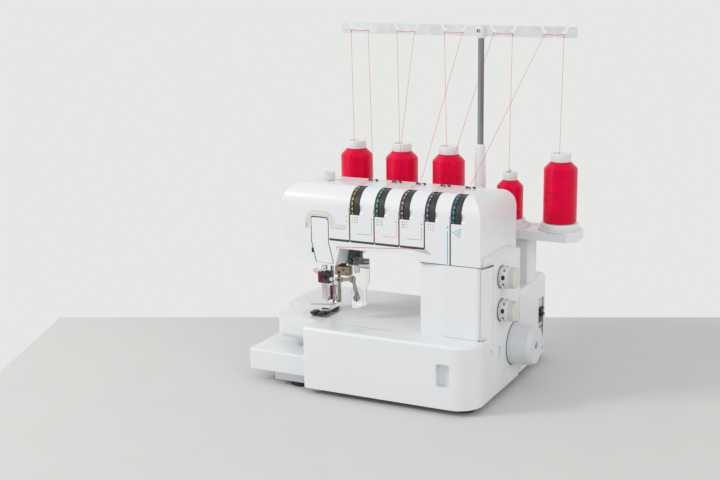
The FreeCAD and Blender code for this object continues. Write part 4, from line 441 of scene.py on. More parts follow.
def makeBrushedMetal():
    # metal with fine lines along one direction and a slightly uneven polish
    group, given, result, where = startGroup("brushedMetal", {
        "Tone": (0.6, 0.6, 0.6, 1),
        "Drift": 0.15,
        "Gloss": 0.2,
        "Smudge": 0.15,
        "Stretch": (40.0, 1500.0, 1500.0),
        "Lines": 0.08,
    })
    lines = addNoise(group, addStretch(group, where, given["Stretch"]), 1.0, 3.0)
    feedAll(group, result, {
        "Color": addDrift(group, given, lines),
        "Roughness": addGloss(group, given, addNoise(group, where, 60.0, 3.0)),
        "Normal": addBump(group, given["Lines"], 0.0001, lines),
    })
    return group


def makeWoundThread():
    # thread wound in level turns: close bands, broken into lengths of lighter and darker turns
    group, given, result, where = startGroup("woundThread", {
        "Light": (0.75, 0.01, 0.06, 1),
        "Dark": (0.4, 0.002, 0.02, 1),
        "Turns": 2200.0,
        "Relief": 0.4,
    })
    bands = addNoise(group, addStretch(group, where, (60.0, 60.0, 900.0)), 1.0, 3.0)
    broad = addNoise(group, addStretch(group, where, (25.0, 25.0, 160.0)), 1.0, 2.0)
    parts = group.nodes.new("ShaderNodeSeparateXYZ")
    feed(group, parts.inputs[0], where)
    level = addMath(group, "MULTIPLY", parts.outputs["Z"], given["Turns"])
    ridge = addMath(group, "SINE", addMath(group, "ADD", level, addMath(group, "MULTIPLY", bands, 5.0)))
    closeShare = addMath(group, "MULTIPLY", bands, 0.55)
    mixed = addMath(group, "ADD", closeShare, addMath(group, "MULTIPLY", broad, 0.45))
    height = addMath(group, "ADD", ridge, addMath(group, "MULTIPLY", bands, 3.0))
    feedAll(group, result, {
        "Color": addMix(group, "MIX", addRange(group, mixed, 0.0, 1.0), given["Dark"], given["Light"]),
        "Roughness": addRange(group, bands, 0.30, 0.46),
        "Normal": addBump(group, given["Relief"], 0.0003, height),
    })
    return group


groups = {"skin": makeMouldedSkin(), "metal": makeBrushedMetal(), "wound": makeWoundThread()}
finishes = {}


def makeFinish(name, groupName, values, shader):
    finish = bpy.data.materials.new(name)
    finish.use_nodes = True
    tree = finish.node_tree
    surface = tree.nodes["Principled BSDF"]
    look = tree.nodes.new("ShaderNodeGroup")
    look.node_tree = groups[groupName]
    for label, value in values.items():
        look.inputs[label].default_value = (*value, 1) if look.inputs[label].type == "RGBA" else value
    for label, target in (("Color", "Base Color"), ("Roughness", "Roughness"), ("Normal", "Normal")):
        tree.links.new(look.outputs[label], surface.inputs[target])
    feedAll(tree, surface, shader)
    finish.diffuse_color = (*values.get("Tone", values.get("Light")), 1)
    finishes[name] = finish


# plastics: tone, drift, gloss, other values of the skin, values of the shader
glossCoat = {"Coat Weight": 0.12, "Coat Roughness": 0.06, "IOR": 1.5}
clearSheet = {"Transmission Weight": 1.0, "IOR": 1.49}
plain = {"IOR": 1.5}
plastics = {
    "whiteCasing": ((0.80, 0.815, 0.83), 0.02, 0.28, {"Smudge": 0.05}, glossCoat),
    "whiteTrim": ((0.74, 0.745, 0.73), 0.03, 0.3, {}, plain),
    "whiteCore": ((0.80, 0.80, 0.80), 0.04, 0.36, {}, plain),
    "creamCap": ((0.70, 0.69, 0.62), 0.03, 0.35, {}, plain),
    "wheelGrey": ((0.70, 0.715, 0.735), 0.03, 0.3, {}, plain),
    "panelGrey": ((0.60, 0.61, 0.62), 0.04, 0.35, {}, plain),
    "greyBase": ((0.52, 0.54, 0.56), 0.05, 0.42, {}, plain),
    "dimpleGrey": ((0.33, 0.36, 0.40), 0.1, 0.35, {}, plain),
    "castFrame": ((0.30, 0.31, 0.33), 0.2, 0.5, {"Peel": 0.4}, {}),
    "slateCasting": ((0.10, 0.115, 0.13), 0.3, 0.38, {"Peel": 0.4}, {"Metallic": 0.5}),
    "socketTan": ((0.36, 0.31, 0.22), 0.2, 0.4, {}, {}),
    "charcoalPlastic": ((0.032, 0.033, 0.037), 0.2, 0.34, {"Smudge": 0.14, "Peel": 0.08}, plain),
    "slotShade": ((0.055, 0.055, 0.05), 0.3, 0.5, {"Peel": 0.2}, {}),
    "blackRubber": ((0.018, 0.018, 0.019), 0.3, 0.6, {"Peel": 0.2}, {}),
    "beltRubber": ((0.02, 0.02, 0.02), 0.3, 0.6, {"Peel": 0.3}, {}),
    # black for print and black fittings, and also for black pieces of painted shade
    "inkBlack": ((0.02, 0.02, 0.02), 0.2, 0.45, {}, {}),
    "clearPlastic": ((0.96, 0.97, 0.96), 0.01, 0.02, {"Smudge": 0.04}, clearSheet),
}
inks = {
    "inkYellow": (0.80, 0.55, 0.06),
    "inkGreen": (0.10, 0.62, 0.40),
    "inkPink": (0.78, 0.42, 0.42),
    "inkLilac": (0.42, 0.41, 0.54),
    "inkCyan": (0.05, 0.42, 0.66),
    "inkOrange": (0.85, 0.52, 0.36),
    "inkMint": (0.45, 0.78, 0.62),
    "inkSlate": (0.20, 0.20, 0.25),
}
inkDrift, inkGloss = 0.1, 0.4
plastics.update({name: (tone, inkDrift, inkGloss, {}, {}) for name, tone in inks.items()})
for name, (tone, drift, gloss, others, shader) in plastics.items():
    makeFinish(name, "skin", {"Tone": tone, "Drift": drift, "Gloss": gloss, **others}, shader)

# metals: tone, drift, gloss, smudge, other values of the brushed metal
metals = {
    "polishedSteel": ((0.82, 0.83, 0.85), 0.06, 0.08, 0.1, {"Lines": 0.02}),
    "plainSteel": ((0.60, 0.61, 0.62), 0.12, 0.28, 0.14, {}),
    "darkSteel": ((0.10, 0.10, 0.105), 0.25, 0.3, 0.2, {}),
    "plateSteel": ((0.88, 0.89, 0.90), 0.06, 0.42, 0.1, {}),
    "railSteel": ((0.78, 0.79, 0.80), 0.1, 0.32, 0.14, {}),
    # the mast's tone is darkened in long streaks along its length, a painted reflection of its surroundings
    "mastChromePaintedStreaks": ((0.52, 0.53, 0.55), 0.85, 0.08, 0.1, {"Stretch": (260.0, 260.0, 2.0), "Lines": 0.02}),
    "smokedChrome": ((0.52, 0.49, 0.46), 0.4, 0.1, 0.15, {"Lines": 0.02}),
    "brass": ((0.42, 0.35, 0.25), 0.3, 0.24, 0.2, {}),
}
for name, (tone, drift, gloss, smudge, others) in metals.items():
    values = {"Tone": tone, "Drift": drift, "Gloss": gloss, "Smudge": smudge, **others}
    makeFinish(name, "metal", values, {"Metallic": 1.0})
threadSheen = {
    "Specular IOR Level": 0.8,
    "Specular Tint": (1.0, 0.08, 0.20, 1),
    "Anisotropic": 0.85,
    "Anisotropic Rotation": 0.25,
}
threadTones = {"Light": (0.86, 0.001, 0.052), "Dark": (0.60, 0.001, 0.032)}
makeFinish("crimsonThread", "wound", threadTones, threadSheen)

# finish of each CAD node, by its slot or by its own name
slotFinish = {
    "grey_base": "greyBase",
    "black_rubber": "blackRubber",
    "white_casing": "whiteCasing",
    "steel": "plainSteel",
    "white_trim": "whiteTrim",
    "charcoal_plastic": "charcoalPlastic",
    "cast_frame": "castFrame",
    "brass": "brass",
    "dark_steel": "darkSteel",
    "belt_rubber": "beltRubber",
    "polished_steel": "polishedSteel",
    "clear_plastic": "clearPlastic",
    "white_core": "whiteCore",
    "crimson_thread": "crimsonThread",
}
nodeFinish = {
    "needle_plate": "plateSteel",
    "mast_tube": "mastChromePaintedStreaks",
    "thread_rail": "railSteel",
    "switch_panel": "panelGrey",
    "handwheel": "wheelGrey",
}
for part in frame["record"]["subparts"]:
    cadNode = frame["nodes"][part["node"]]
    cadNode.data.materials.clear()
    finish = nodeFinish.get(part["node"], slotFinish[part["material_slot"]])
    cadNode.data.materials.append(finishes[finish])
print("finishes on the frame:", len(finishes))

dialPitch = 34.9  # from one tension dial, with its slot and guide, to the next
armFront = -101.5  # the face of the arm that carries the prints

# threads from the spools over the rail and down to the guides on the arm
routes = {
    "thick": 0.4,
    "spoolX": (-136.6, -65.2, 6.2, 96.8, 168.2),
    "spoolY": (73.0, 73.0, 73.0, 75.0, 73.0),
    "capTop": (301.0, 301.0, 301.0, 272.5, 301.0),
    "upNotchX": (-142.1, -71.0, 0.1, 97.8, 168.9),
    "downNotchX": (-115.5, -44.4, 26.7, 71.2, 142.3),
    "notch": (78.9, 457.6),
    "guideX": -58.5,
    "guide": (-22.0, 269.7),
    "mastTravel": 135.0,
}


def layThread(name, points, body="base"):
    # a run of thread on a smooth curve, made a mesh tube
    run = smoothLine(points)
    bpy.context.view_layer.update()
    line = bpy.data.meshes.new_from_object(run.evaluated_get(bpy.context.evaluated_depsgraph_get()))
    bpy.data.meshes.remove(line)
    run = threadTrim(name, body, thicken(run, routes["thick"] / 2, 2))
    return run


def mastThread(name, low, high):
    # a thread from a low point to a high point, on a mesh of its own, in place of the hidden CAD threads
    middle = [(a + b) / 2 for a, b in zip(low, high)]
    run = layThread(name, [low, middle, high])
    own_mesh(run)
    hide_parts("threads")


for index in range(5):
    capSpot = [routes[key][index] for key in ("spoolX", "spoolY", "capTop")]
    guideSpot = (routes["guideX"] + dialPitch * index, *routes["guide"])
    upNotch = (routes["upNotchX"][index], *routes["notch"])
    downNotch = (routes["downNotchX"][index], *routes["notch"])
    mastThread("risingThread%d" % (index + 1), capSpot, upNotch)
    mastThread("fallingThread%d" % (index + 1), guideSpot, downNotch)
print("threads laid")


inkShape = {"flatten": 0.1, "dot": (0.1, "y", 12)}


def inkStroke(points, width):
    # a flat printed line on the front of the arm
    stroke = thicken(startCurve("POLY", [(x, 0, z) for x, z in points]), width / 2, 1)
    stroke.location.y = armFront * mm
    stroke.scale.y = inkShape["flatten"]
    return settle(stroke)


def inkDot(x, z, radius):
    return startDrum((x, armFront, z), radius, *inkShape["dot"])


def wrapMark(mark, x, centre, radius, angle):
    # lay a flat mark on a drum whose axis runs along X
    turn = math.radians(angle)
    out = Vector((0, -math.cos(turn), math.sin(turn)))
    mark.location = (Vector((x, *centre)) + out * radius) * mm
    mark.rotation_euler.x = math.pi / 2 - turn
    return settle(mark)


digitShape = {"sizePerHeight": 1.38, "thick": 0.05, "weight": 0.12, "curveSteps": 3}


def digitMark(digit, height):
    clearPick()
    bpy.ops.object.text_add()
    sign = bpy.context.object
    sign.data.body = digit
    sign.data.size = height * digitShape["sizePerHeight"] * mm
    sign.data.extrude = digitShape["thick"] * mm
    sign.data.offset = digitShape["weight"] * mm
    sign.data.resolution_u = digitShape["curveSteps"]
    sign.data.align_x = "CENTER"
    sign.data.align_y = "CENTER"
    bpy.ops.object.convert(target="MESH")
    return bpy.context.object


# numbers on the five tension dials
dialNumbers = {
    "firstX": -48.1,
    "axis": (-78.2, 244.0),
    "radius": 23.8,
    "height": 4.0,
    "firstAngle": -66.0,
    "step": 16.0,
    "inks": ("inkYellow", "inkGreen", "inkPink", "inkLilac", "inkCyan"),
}
for index, ink in enumerate(dialNumbers["inks"]):
    stripX = dialNumbers["firstX"] + dialPitch * index
    digits = []
    for number in range(10):
        sign = digitMark(str(number), dialNumbers["height"])
        angle = dialNumbers["firstAngle"] + dialNumbers["step"] * number
        digits.append(wrapMark(sign, stripX, dialNumbers["axis"], dialNumbers["radius"], angle))
    dress("dialNumbers%d" % (index + 1), digits, ink, "dial_%d" % (index + 1))
print("dial numbers set")

# dark strips of painted shade set in the slots and grooves of the arm
slots = {
    "left": -83.0,
    "firstWindow": -52.0,
    "web": 1.2,
    "height": (199.2, 202.2),
    "depth": (-101.1, -99.9),
    "grooveReach": (-1.3, 0.5),
    "grooveBottom": (200.7, 200.7, 200.7, 200.7, 184.0),
    "grooveTop": 236.0,
    "slotRound": 0.3,
    "grooveRound": 0.2,
}
slotFront, slotBack = slots["depth"]
windows = [slots["firstWindow"] + dialPitch * index for index in range(5)]
slotBars = []
for first, second in zip((slots["left"], *windows), windows[:4]):
    low = (first + slots["web"] / 2, slotFront, slots["height"][0])
    high = (second - slots["web"] / 2, slotBack, slots["height"][1])
    slotBars.append(roundBlock(low, high, slots["slotRound"]))
for window, bottom in zip(windows, slots["grooveBottom"]):
    low = (window + slots["grooveReach"][0], slotFront, bottom)
    high = (window + slots["grooveReach"][1], slotBack, slots["grooveTop"])
    slotBars.append(roundBlock(low, high, slots["grooveRound"]))
dress("armSlotShadeStrips", slotBars, "slotShade", "base")
print("slots shaded")

# printed threading marks on the front of the arm, and black lines of painted shade in the gap round the
# take-up cover
prints = {
    "inkOrange": [
        (-116.6, 212.2), (-116.2, 222), (-114.2, 229), (-110.5, 234), (-105, 236.2), (-86.4, 236),
        (-80.5, 233.6), (-76.4, 229), (-74.6, 224), (-74.2, 220.6), (-57, 220.6),
    ],
    "inkMint": [
        (-114.4, 212.4), (-114, 222), (-112.2, 228), (-109, 231.8), (-104.5, 233.6), (-87, 233.8),
        (-82, 231.6), (-78.6, 227.5), (-76.8, 223), (-76.3, 218.2), (-57.6, 218.2),
    ],
    "inkPink": [
        (-112, 213.6), (-111.6, 222), (-110, 227), (-107.4, 229.8), (-104, 231.2), (-87.5, 231.6),
        (-83.2, 229.4), (-80.6, 225.6), (-79.3, 221), (-78.8, 215.9), (-57.6, 215.9),
    ],
    "lineWidth": 1.3,
    "iconLeft": (-47.7, -12.8, 22.4, 58.0),
    "iconTop": 232.2,
    "iconStep": 3.1,
    "iconDot": 0.75,
    "iconColumns": ((0,), (1,), (2,), (0, 1, 2)),
    "strokes": (
        ("inkGreen", 1.0, [(-41.2, 211.5), (-21.2, 211.5), (-21.2, 227.5)]),
        ("inkPink", 1.0, [(-5.7, 211.5), (13.6, 211.5), (13.6, 227.5)]),
        ("inkLilac", 1.0, [(28.6, 211.5), (48.4, 211.5), (48.4, 227.5)]),
        ("inkCyan", 1.1, [(83.6, 184.6), (83.6, 226.0)]),
        # these three black strokes are painted shade along the top and sides of the gap round the take-up
        # cover, not print
        ("inkBlack", 1.8, [(-107.6, 228), (-106, 228.7), (-87, 228.7), (-84.8, 227.6), (-83.6, 225.2)]),
        ("inkBlack", 1.0, [(-108.6, 216.0), (-108.6, 196.0), (-102.2, 170.0)]),
        ("inkBlack", 1.0, [(-83.4, 226.0), (-83.4, 196.0), (-76.9, 170.0)]),
        ("inkSlate", 0.8, [(-115.5, 214.7), (-115.5, 220.7)]),
    ),
    "dots": (
        ("inkYellow", -56.3, 232.3, 1.1), ("inkYellow", -56.3, 226.4, 1.1), ("inkCyan", 83.6, 230.8, 1.2),
        ("inkGreen", -21.2, 231.6, 1.15), ("inkPink", 13.6, 231.6, 1.15), ("inkLilac", 48.4, 231.6, 1.15),
    ),
    "fan": (97.5, 224.6),
    "fanDashes": (
        (-6.0, 0.6), (-2.6, 2.1), (0.5, 3.6), (3.5, 5.1), (-3.1, -1.1),
        (-0.2, 0.3), (2.9, 1.8), (-0.7, -2.8), (2.4, -1.3), (1.7, -4.7),
    ),
    "fanHalf": (0.9, 0.35),
    "fanWidth": 1.7,
}
inkOrder = ("Orange", "Mint", "Pink", "Yellow", "Green", "Lilac", "Cyan", "Slate", "Black")
printed = {"ink" + name: [] for name in inkOrder}
for ink in ("inkOrange", "inkMint", "inkPink"):
    printed[ink].append(inkStroke(prints[ink], prints["lineWidth"]))
icons = zip(prints["iconLeft"], dialNumbers["inks"], prints["iconColumns"])
for iconLeft, iconInk, colouredColumns in icons:
    for column in range(3):
        for row in range(3):
            x = iconLeft + prints["iconStep"] * column
            z = prints["iconTop"] - prints["iconStep"] * row
            ink = iconInk if column in colouredColumns else "inkSlate"
            printed[ink].append(inkDot(x, z, prints["iconDot"]))
for ink, width, points in prints["strokes"]:
    printed[ink].append(inkStroke(points, width))
for ink, *dot in prints["dots"]:
    printed[ink].append(inkDot(*dot))
halfAcross, halfUp = prints["fanHalf"]
for dash in prints["fanDashes"]:
    x, z = shift(prints["fan"], dash)
    fanDash = [(x - halfAcross, z - halfUp), (x + halfAcross, z + halfUp)]
    printed["inkCyan"].append(inkStroke(fanDash, prints["fanWidth"]))
# printBlack holds only the black strokes of painted shade round the take-up cover
for ink, marks in printed.items():
    dress("print" + ink.removeprefix("ink"), marks, ink, "base")
print("threading marks printed")

# wound thread packages with their caps and flanges
spools = {
    "y": 80.0,
    "bottom": 209.8,
    "top": (291.0, 291.0, 291.0, 261.5, 291.0),
    "radius": (22.5, 22.5, 22.5, 18.0, 22.5),
    "sides": 72,
    "shoulder": (8.4, 8.4, 8.4, 7.4, 8.4),
    "shoulderRound": (1.6, 3),
    "bottomRound": (2.5, 3),
    "capRadius": (13.6, 13.6, 13.6, 9.8, 13.6),
    "capHeight": (11.5, 11.5, 11.5, 11.0, 11.5),
    "capSides": 56,
    "capGap": 0.4,
    "capTopRound": (0.9, 3),
    "capBottomRound": (0.8, 2),
    "capDish": ("up", 1.4, 2.5),
    "flange": (203.4, 209.6),
    "flangeReach": 3.3,
    "flangeRound": (1.8, 3),
    "pinTip": (268.6, 276.6, 1.5, 24),
    "pinRound": (1.0, 3),
}
for index, x in enumerate(routes["spoolX"]):
    spot = (x, spools["y"])
    top, radius, shoulder, capRadius, capHeight = [
        spools[key][index] for key in ("top", "radius", "shoulder", "capRadius", "capHeight")
    ]
    package = standDrum(spot, spools["bottom"], top, radius, spools["sides"])
    softenLoop(package, top, shoulder, 1)
    softenLoop(package, top - shoulder, *spools["shoulderRound"])
    softenLoop(package, spools["bottom"], *spools["bottomRound"])
    name = "threadPackage%d" % (index + 1)
    dress(name, [package], "crimsonThread", "base", "thread_cones", angle=40)
    capBottom, capTop = top + spools["capGap"], top + capHeight
    cap = standDrum(spot, capBottom, capTop, capRadius, spools["capSides"])
    softenLoop(cap, capTop, *spools["capTopRound"])
    softenLoop(cap, capBottom, *spools["capBottomRound"])
    sinkFace(cap, *spools["capDish"])
    flange = standDrum(spot, *spools["flange"], radius + spools["flangeReach"], spools["sides"])
    softenLoop(flange, spools["flange"][1], *spools["flangeRound"])
    dress("spoolCap%d" % (index + 1), [cap, flange], "whiteCore", "base", "spool_cores")
pinTip = standDrum((routes["spoolX"][3], spools["y"]), *spools["pinTip"])
softenLoop(pinTip, spools["pinTip"][1], *spools["pinRound"])
dress("spoolPinTip", [pinTip], "plainSteel", "base")
print("thread packages wound")

# thread guides on the top of the arm, each with the thread that runs on to its dial
guides = {
    "base": 265.6,
    "postX": 5.2,
    "postHeight": 2.6,
    "post": (1.3, 24),
    "postRound": 0.4,
    "wire": ((2.4, -0.6, 1.4), (2.4, 0, 2.2), (7.1, 0, 2.2), (7.1, 0, 0.8)),
    "wireRadius": 0.55,
    "ring": (0, -3.2, 1.5),
    "ringSize": (1.25, 0.5),
    "ringSteps": (24, 10),
    "ringTilt": 60,
    "tail": ((0, -3.4, 1.6), (-1.0, -14, 2.4), (3.0, -30, 3.4), (6.3, -44, 2.9)),
}
for index in range(5):
    middle = (routes["guideX"] + dialPitch * index, routes["guide"][0], guides["base"])
    parts = []
    for sign in (-1, 1):
        postSpot = (middle[0] + sign * guides["postX"], middle[1])
        post = standDrum(postSpot, guides["base"], guides["base"] + guides["postHeight"], *guides["post"])
        parts.append(roundEdges(post, guides["postRound"]))
        wire = [shift(middle, (sign * across, back, rise)) for across, back, rise in guides["wire"]]
        parts.append(layTube(wire, guides["wireRadius"]))
    clearPick()
    bpy.ops.mesh.primitive_torus_add(
        location=[v * mm for v in shift(middle, guides["ring"])],
        rotation=(math.radians(guides["ringTilt"]), 0, 0),
        major_radius=guides["ringSize"][0] * mm,
        minor_radius=guides["ringSize"][1] * mm,
        major_segments=guides["ringSteps"][0],
        minor_segments=guides["ringSteps"][1],
    )
    parts.append(settle(bpy.context.object))
    name = "topGuide%d" % (index + 1)
    dress(name, parts, "charcoalPlastic", "base", "top_thread_guides", angle=60)
    layThread("guideTail%d" % (index + 1), [shift(middle, bend) for bend in guides["tail"]])
print("top guides bent")

# stitch dials, and thin black rings of painted shade in the gaps behind them and behind the handwheel
dials = {
    "y": -46.0,
    "dials": (("length_dial", "stitch_length_dial", 160.5), ("ratio_dial", "feed_ratio_dial", 117.0)),
    "radius": 14.0,
    "stem": ((131.2, 135.2), 3.9, 32),
    "rim": (134.5, 146.6),
    "rimSides": 80,
    "rimRound": 0.4,
    "grip": (146.6, 153.4),
    "gripInset": 0.6,
    "ribs": 48,
    "rib": (0.12, 0.45),
    "cap": (153.4, 155.0),
    "capInset": 1.2,
    "capSides": 64,
    "capRound": (1.0, 3),
    "marks": 8,
    "firstAngle": -150,
    "markStep": 40,
    "tick": ((-0.9, -0.35, 0), (0.9, 0.35, 0.1)),
    "tickX": 136.6,
    "tickTurn": 20,
    "digitX": 141.2,
    "digitHeight": 4.4,
    "badgeStep": 4,
    "badge": ((0, 0, 0.05), 2.5, 0.12, "z", 24),
    "badgeX": 141.0,
    "badgeTall": 1.25,
    "gap": (134.02, 134.42),
    "gapReach": 0.9,
    "gapRound": (0.1, 1),
    "wheel": (2.0, 59.0),
    "wheelGap": 29.0,
}


# a thin black disc of painted shade, showing round the edge of a dial or the handwheel
def gapRing(name, spot, radius, sides):
    blackTrim(name, roundEdges(lieDrum(spot, dials["gap"], radius, sides), *dials["gapRound"]))


for body, cadName, z in dials["dials"]:
    radius, spot = dials["radius"], (dials["y"], z)
    stem = lieDrum(spot, *dials["stem"])
    rim = roundEdges(lieDrum(spot, dials["rim"], radius, dials["rimSides"]), dials["rimRound"])
    dress(cadName + "Rim", [rim, stem], "whiteTrim", body, cadName)
    grip = lieDrum(spot, dials["grip"], radius - dials["gripInset"], 2 * dials["ribs"])
    ribSides(grip, 0, *dials["rib"])
    dress(cadName + "Grip", [grip], "wheelGrey", body, cadName, angle=25)
    cap = lieDrum(spot, dials["cap"], radius - dials["capInset"], dials["capSides"])
    softenLoop(cap, dials["cap"][1], *dials["capRound"], axis=0)
    dress(cadName + "Cap", [cap], "creamCap", body, cadName)
    marks = []
    for step in range(dials["marks"]):
        angle = dials["firstAngle"] + step * dials["markStep"]
        tick = startBlock(*dials["tick"])
        marks.append(wrapMark(tick, dials["tickX"], spot, radius, angle + dials["tickTurn"]))
        if step == dials["badgeStep"]:
            mark, markX = startDrum(*dials["badge"]), dials["badgeX"]
            mark.scale.y = dials["badgeTall"]
            settle(mark)
        else:
            mark, markX = digitMark(str(step + 1), dials["digitHeight"]), dials["digitX"]
        marks.append(wrapMark(mark, markX, spot, radius, angle))
    dress(cadName + "Marks", marks, "inkBlack", body)
    gapRing(cadName + "Gap", spot, radius + dials["gapReach"], dials["capSides"])
gapRing("handwheelGapShade", dials["wheel"], dials["wheelGap"], dials["rimSides"])
print("side dials turned")

# clamp boss on top of the mast, with its screw
mastBoss = {
    "spot": (53.2, 80.0),
    "size": (450.0, 467.0, 6.5, 56),
    "topRound": (4.5, 5),
    "bottomRound": (1.0, 3),
    "screw": ((51.6, 73.8, 459.8), 2.2, 1.4, "y", 32),
    "screwDish": ("front", 0.7, 0.8),
}
boss = standDrum(mastBoss["spot"], *mastBoss["size"])
softenLoop(boss, mastBoss["size"][1], *mastBoss["topRound"])
softenLoop(boss, mastBoss["size"][0], *mastBoss["bottomRound"])
dress("railBoss", [boss], "whiteTrim", "mast", "rail_boss")
screw = sinkFace(startDrum(*mastBoss["screw"]), *mastBoss["screwDish"])
dress("railScrew", [screw], "darkSteel", "mast")
print("mast boss set")

# needle clamp with its nut, screws, wire guide and threads
clamp = {
    "block": ((-118.0, -71.2, 131.8), (-100.8, -58.8, 147.0)),
    "blockDish": ("front", 2.6, 1.2),
    "blockRound": 0.7,
    "setScrews": ((-114.2, -71.4, 139.0), (-108.4, -71.4, 139.0)),
    "setScrew": (1.7, 3.0, "y", 24, 0.4),
    "bar": (-111.0, -65.0),
    "nut": (147.0, 150.6, 4.8, 6),
    "nutRound": 0.5,
    "collar": (150.8, 155.2, 4.5, 40),
    "collarRound": 0.6,
    "sideScrew": ((-98.6, -68.6, 138.2), 2.7, 4.6, "y", 32),
    "sideScrewDish": ("front", 0.8, 0.7),
    "sideScrewRound": 0.25,
    "wire": (
        (-115.5, -70.6, 149.2), (-118.0, -72.0, 151.8), (-122.6, -72.6, 150.6),
        (-123.0, -73.0, 146.6), (-119.6, -73.2, 145.2),
    ),
    "wireRadius": 0.55,
    "bracket": ((-117.4, -71.6, 147.0), (-112.6, -67.0, 149.6), 0.6),
    "strandTops": ((-124.0, -72.9, 150.0), (-122.4, -72.9, 150.0), (-120.6, -72.9, 150.0)),
    "strandX": (-114.0, -111.0, -108.0),
    "strand": (
        (-1.4, -72.6, 144.0), (-0.6, -72.4, 133.0), (0, -67.2, 128.0), (0, -65.9, 122.0), (0, -65.8, 108.6),
    ),
}
clampBlock = sinkFace(startBlock(*clamp["block"]), *clamp["blockDish"])
roundEdges(clampBlock, clamp["blockRound"])
setScrews = [roundDrum(spot, *clamp["setScrew"]) for spot in clamp["setScrews"]]
dress("needleClamp", [clampBlock, *setScrews], "darkSteel", "needle_drive", "needle_clamp")
nut = roundEdges(standDrum(clamp["bar"], *clamp["nut"]), clamp["nutRound"])
collar = roundEdges(standDrum(clamp["bar"], *clamp["collar"]), clamp["collarRound"])
sideScrew = sinkFace(startDrum(*clamp["sideScrew"]), *clamp["sideScrewDish"])
roundEdges(sideScrew, clamp["sideScrewRound"])
wire = layTube(clamp["wire"], clamp["wireRadius"])
clampTrim = [nut, collar, sideScrew, wire, roundBlock(*clamp["bracket"])]
dress("clampTrim", clampTrim, "polishedSteel", "needle_drive", "needle_clamp")
for index, (top, x) in enumerate(zip(clamp["strandTops"], clamp["strandX"])):
    strand = [top] + [(x + across, y, z) for across, y, z in clamp["strand"]]
    layThread("needleStrand%d" % (index + 1), strand, "needle_drive")
print("needle clamp built")

# presser ankle trim and the toes of the foot
ankle = {
    "slot": ((-110.6, -52.5, 104.5), (-106.8, -51.5, 124.0), 0.3),
    "plate": ((-104.4, -50.6, 100.6), (-100.0, -40.0, 123.0)),
    "plateDish": ("right", 1.8, 0.8),
    "plateRound": 0.6,
    "screw": ((-98.9, -45.0, 116.0), 3.1, 3.2, "x", 36, 0.5),
    "thread": ((-105.2, -52.9, 127.0), (-105.2, -52.9, 114.0), (-105.8, -53.6, 101.0)),
    "threadRadius": 0.4,
}
# a black block of painted shade stands for the slot in the presser ankle
dress("ankleSlotShade", [roundBlock(*ankle["slot"])], "inkBlack", "presser")
plate = sinkFace(startBlock(*ankle["plate"]), *ankle["plateDish"])
plate = [roundEdges(plate, ankle["plateRound"]), roundDrum(*ankle["screw"])]
dress("anklePlate", plate, "polishedSteel", "presser")
threadTrim("ankleThread", "presser", layTube(ankle["thread"], ankle["threadRadius"]))
foot = {
    "toes": (
        ((-121.0, -91.6, 91.0), (-112.8, -76.0, 96.2)),
        ((-109.2, -91.6, 91.0), (-101.0, -76.0, 96.2)),
    ),
    "toeSlope": 5.0,
    "toeRound": (1.0, 3),
    "skirt": ((-101.0, -84.0, 91.0), (-100.3, -46.0, 95.0), 0.2),
    "mark": ((-100.3, -71.5, 92.2), (-100.1, -67.5, 94.0), 0.05, 1),
}
toes = []
for low, high in foot["toes"]:
    toe = startBlock(low, high)
    frontY, soleZ = (low[1] + edgeReach) * mm, (low[2] + edgeReach) * mm
    slideEdges(toe, lambda a, b: max(a.y, b.y) < frontY and max(a.z, b.z) < soleZ, foot["toeSlope"])
    toes.append(roundEdges(toe, *foot["toeRound"]))
dress("footToes", [*toes, roundBlock(*foot["skirt"])], "inkBlack", "sole")
dress("footMark", [roundBlock(*foot["mark"])], "crimsonThread", "sole")
print("presser foot trimmed")

# presser spring, coiled inside the bounds of the CAD spring
coil = {"turns": 10, "stepsPerTurn": 12, "wire": 0.7, "travel": 6.0}
springLow, springHigh = [[v / mm for v in corner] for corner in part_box("presser_spring")]
springHeight = springHigh[2] - springLow[2]
springSpot = [(springLow[axis] + springHigh[axis]) / 2 for axis in (0, 1)]
coilRadius = (springHigh[0] - springLow[0]) / 2 - coil["wire"]
coilSteps = coil["turns"] * coil["stepsPerTurn"]
coilPath = []
for step in range(coilSteps + 1):
    turn = step * 2 * math.pi / coil["stepsPerTurn"]
    rise = coil["wire"] + (springHeight - 2 * coil["wire"]) * step / coilSteps
    coilX = springSpot[0] + coilRadius * math.cos(turn)
    coilY = springSpot[1] + coilRadius * math.sin(turn)
    coilPath.append((coilX, coilY, springLow[2] + rise))
spring = layTube(coilPath, coil["wire"])
dress("presserSpring", [spring], "plainSteel", "base", "presser_spring", angle=60)
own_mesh(spring)
print("presser spring coiled")

